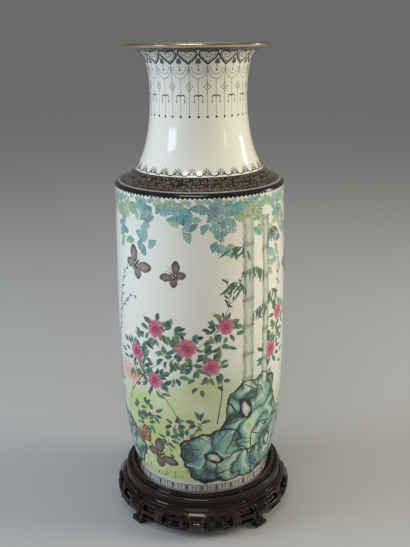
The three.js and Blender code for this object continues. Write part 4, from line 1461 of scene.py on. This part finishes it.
class VASE_OT_paint_garden(bpy.types.Operator):
    """Paint the garden round the body"""
    bl_idname = "vase.paint_garden"
    bl_label = "Paint the garden"

    def execute(self, context):
        enamel = bpy.data.materials["overglaze_enamel"]
        garden = [Enamel() for _ in range(4)]
        paint_garden(*garden)
        for drawing, name in zip(garden,
                                 ("garden_leaves", "garden_blooms", "garden_rocks", "garden_outlines")):
            drawing.finish(name, enamel)
        leaves, twigs = Enamel(), Enamel()
        paint_canopy(leaves, twigs)
        twigs.finish("canopy_twigs", enamel)
        leaves.finish("canopy_leaves", enamel)
        return {"FINISHED"}


class VASE_OT_turn_ring(bpy.types.Operator):
    """Turn the moulded ring in four arcs"""
    bl_idname = "vase.turn_ring"
    bl_label = "Turn the ring"

    def execute(self, context):
        seam = 0.1 / LEDGE_RADIUS
        arc_piece = turned("moulded_arc", ring_section(), True, -QUARTER / 2 + seam, QUARTER - 2 * seam)
        arc_piece.data.materials.append(bpy.data.materials["polished_rosewood"])
        # The worn colour with a painted sheen along the moulding's crests, and painted shade in its coves
        # and in the seat's groove.
        crests = ((LEDGE_RADIUS, RING_BOTTOM + 2), (112.5, 56.4), (105, SEAT_LIP_TOP))
        hollows = ((LEDGE_RADIUS - 2.4, RING_BOTTOM + 1.5), (111.2, 48.8), (108.4, 56.6),
                   (GROOVE_RADIUS, 50))
        wear_sheen_and_shade = []
        for vertex in arc_piece.data.vertices:
            x, y, z = vertex.co / MM
            reach = math.hypot(x, y)
            high = max(1 - math.hypot(reach - r, z - h) / 1.6 for r, h in crests)
            low = max(1 - math.hypot(reach - r, z - h) / 2.2 for r, h in hollows)
            wear_sheen_and_shade.append(0.5 * max(high, 0) - max(low, 0))
        set_wear_sheen_and_shade(arc_piece, wear_sheen_and_shade)
        four_copies(arc_piece, "moulded_ring", "ring_segment", QUARTER / 2)
        return {"FINISHED"}


class VASE_OT_carve_aprons(bpy.types.Operator):
    """Carve and pierce the four apron panels"""
    bl_idname = "vase.carve_aprons"
    bl_label = "Carve the aprons"

    def execute(self, context):
        wall = context.scene.vase_settings.apron_wall
        apron = carved_apron("carved_apron", columns=320, rows=54, wall=wall)
        apron.data.materials.append(bpy.data.materials["polished_rosewood"])
        four_copies(apron, "carved_apron", "apron_panel", 0)
        return {"FINISHED"}


class VASE_OT_shape_legs(bpy.types.Operator):
    """Shape the four cabriole legs"""
    bl_idname = "vase.shape_legs"
    bl_label = "Shape the legs"

    def execute(self, context):
        leg = cabriole_leg("cabriole")
        leg.data.materials.append(bpy.data.materials["polished_rosewood"])
        four_copies(leg, "cabriole_leg", "leg", QUARTER / 2)
        return {"FINISHED"}


class VASE_OT_plane_joinery(bpy.types.Operator):
    """Give the floor board, the splines and the dowels their plain planed wood"""
    bl_idname = "vase.plane_joinery"
    bl_label = "Plane the joinery"

    def execute(self, context):
        settings = context.scene.vase_settings
        plain = wood_material("planed_hardwood", tuple(settings.plain_dark), tuple(settings.plain_light),
                              (1, 6, 1), 0)
        for name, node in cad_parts.items():
            if name == "floor_board" or name.startswith(("ring_spline", "leg_dowel")):
                node.data.materials.clear()
                node.data.materials.append(plain)
        return {"FINISHED"}


class VASE_OT_stage(bpy.types.Operator):
    """Make the floor, the lights and the camera"""
    bl_idname = "vase.stage"
    bl_label = "Set the stage"

    def execute(self, context):
        pale = (0.4, 0.39, 0.368)
        daylight = (0.42 * 0.88, 0.42 * 0.9, 0.42 * 0.93)
        bpy.ops.mesh.primitive_plane_add(size=200, location=(0, 0, 0))
        floor = context.object
        floor.name = "studio_floor"
        material, nodes = new_material("pale_floor")
        set_inputs(nodes["Principled BSDF"],
                   {"Base Color": (*pale, 1), "Roughness": 1, "Specular IOR Level": 0})
        floor.data.materials.append(material)
        world = bpy.data.worlds.new("soft_studio")
        world.use_nodes = True
        nodes = world.node_tree.nodes
        room = nodes["Background"]
        set_inputs(room, {"Color": (*daylight, 1)})
        wall = add_node(nodes, "Background", {"Color": (*[a * b for a, b in zip(pale, daylight)], 1)})
        sight = add_node(nodes, "LightPath", {})
        seen = sight.outputs["Is Camera Ray"]
        for ray in ("Is Transmission Ray", "Is Glossy Ray"):
            seen = add_node(nodes, "Math", {0: seen, 1: sight.outputs[ray]}, operation="MAXIMUM").outputs[0]
        choice = add_node(nodes, "MixShader", {
            "Fac": seen, 1: room.outputs["Background"], 2: wall.outputs["Background"]})
        set_inputs(nodes["World Output"], {"Surface": choice.outputs["Shader"]})
        context.scene.world = world
        turn = Matrix.Rotation(VIEW_ANGLE, 4, "Z")
        cool, warm = (0.6, 0.76, 1.0), (1.0, 0.93, 0.77)
        for name, azimuth, distance, height, wide, tall, power, colour, in_gloss in (
            ("soft_left", -80, 2.1, 1.15, 1.0, 1.1, 37, cool, False),
            ("soft_right", 86, 2.1, 1.15, 0.8, 1.1, 37, warm, False),
            ("ceiling", -14, 1.1, 2.0, 0.9, 0.5, 8, (1.0, 0.98, 0.93), True),
            ("window_left", -60, 1.8, 0.95, 0.6, 0.36, 3.2, (0.62, 0.76, 1.0), True),
            ("window_right", 104, 1.8, 0.95, 0.3, 0.42, 2.6, (0.95, 0.97, 1.0), True),
            ("warm_bulb", 58, 1.6, 0.9, 0.08, 0.26, 0.3, (1.0, 0.86, 0.55), True),
        ):
            bpy.ops.object.light_add(type="AREA")
            lamp = context.object
            lamp.name = name
            lamp.data.shape = "RECTANGLE"
            lamp.data.size, lamp.data.size_y = wide, tall
            lamp.data.energy = power * context.scene.vase_settings.lamp_level
            lamp.data.color = colour
            lamp.visible_glossy = in_gloss
            way = math.radians(azimuth)
            place = turn @ Vector((distance * math.sin(way), -distance * math.cos(way), height))
            aim = (Vector((0, 0, 0.45)) - place).to_track_quat("-Z", "Y").to_matrix().to_4x4()
            lamp.matrix_world = Matrix.Translation(place) @ aim
        bpy.ops.object.camera_add()
        camera = context.object
        camera.data.lens = 48.7
        camera.data.sensor_width = 36
        step_back = Matrix.Translation((0, -0.984, 0.6614))
        look = (Matrix.Rotation(-0.00616, 4, "Z") @ Matrix.Rotation(math.pi / 2 - 0.31, 4, "X")
                @ Matrix.Rotation(-0.0105, 4, "Z"))
        camera.matrix_world = turn @ step_back @ look
        context.scene.camera = camera
        context.scene.view_settings.view_transform = "Standard"
        return {"FINISHED"}


class VASE_PT_panel(bpy.types.Panel):
    """The steps that make the vase and its stand"""
    bl_idname = "VASE_PT_panel"
    bl_label = "Painted vase"
    bl_space_type = "VIEW_3D"
    bl_region_type = "UI"
    bl_category = "Vase"

    def draw(self, context):
        settings = context.scene.vase_settings
        for name in settings.__annotations__:
            self.layout.prop(settings, name)
        for step in STEPS:
            self.layout.operator(step.bl_idname)


STEPS = (
    VASE_OT_throw_body, VASE_OT_paint_borders, VASE_OT_paint_garden, VASE_OT_turn_ring,
    VASE_OT_carve_aprons, VASE_OT_shape_legs, VASE_OT_plane_joinery, VASE_OT_stage,
)
CLASSES = (VaseSettings, *STEPS, VASE_PT_panel)


def register():
    for cls in CLASSES:
        bpy.utils.register_class(cls)
    bpy.types.Scene.vase_settings = bpy.props.PointerProperty(type=VaseSettings)


def unregister():
    del bpy.types.Scene.vase_settings
    for cls in reversed(CLASSES):
        bpy.utils.unregister_class(cls)


def main():
    register()
    bpy.ops.object.select_all(action="DESELECT")
    settings = bpy.context.scene.vase_settings
    make_tone_variation()
    make_wood_grain()
    wood_material("polished_rosewood", tuple(settings.wood_dark), tuple(settings.wood_light), (1, 1, 5),
                  0.8, tuple(settings.wood_wear_and_sheen))
    fired_material("overglaze_enamel", None, 260, 0.35, (700, 0.00008), {
        "Roughness": 0.16, "Coat Weight": 0.5, "Coat Roughness": 0.05})
    bpy.ops.vase.throw_body()
    bpy.ops.vase.paint_borders()
    bpy.ops.vase.paint_garden()
    bpy.ops.vase.turn_ring()
    bpy.ops.vase.carve_aprons()
    bpy.ops.vase.shape_legs()
    bpy.ops.vase.plane_joinery()
    bpy.ops.vase.stage()


if __name__ == "__main__":
    main()
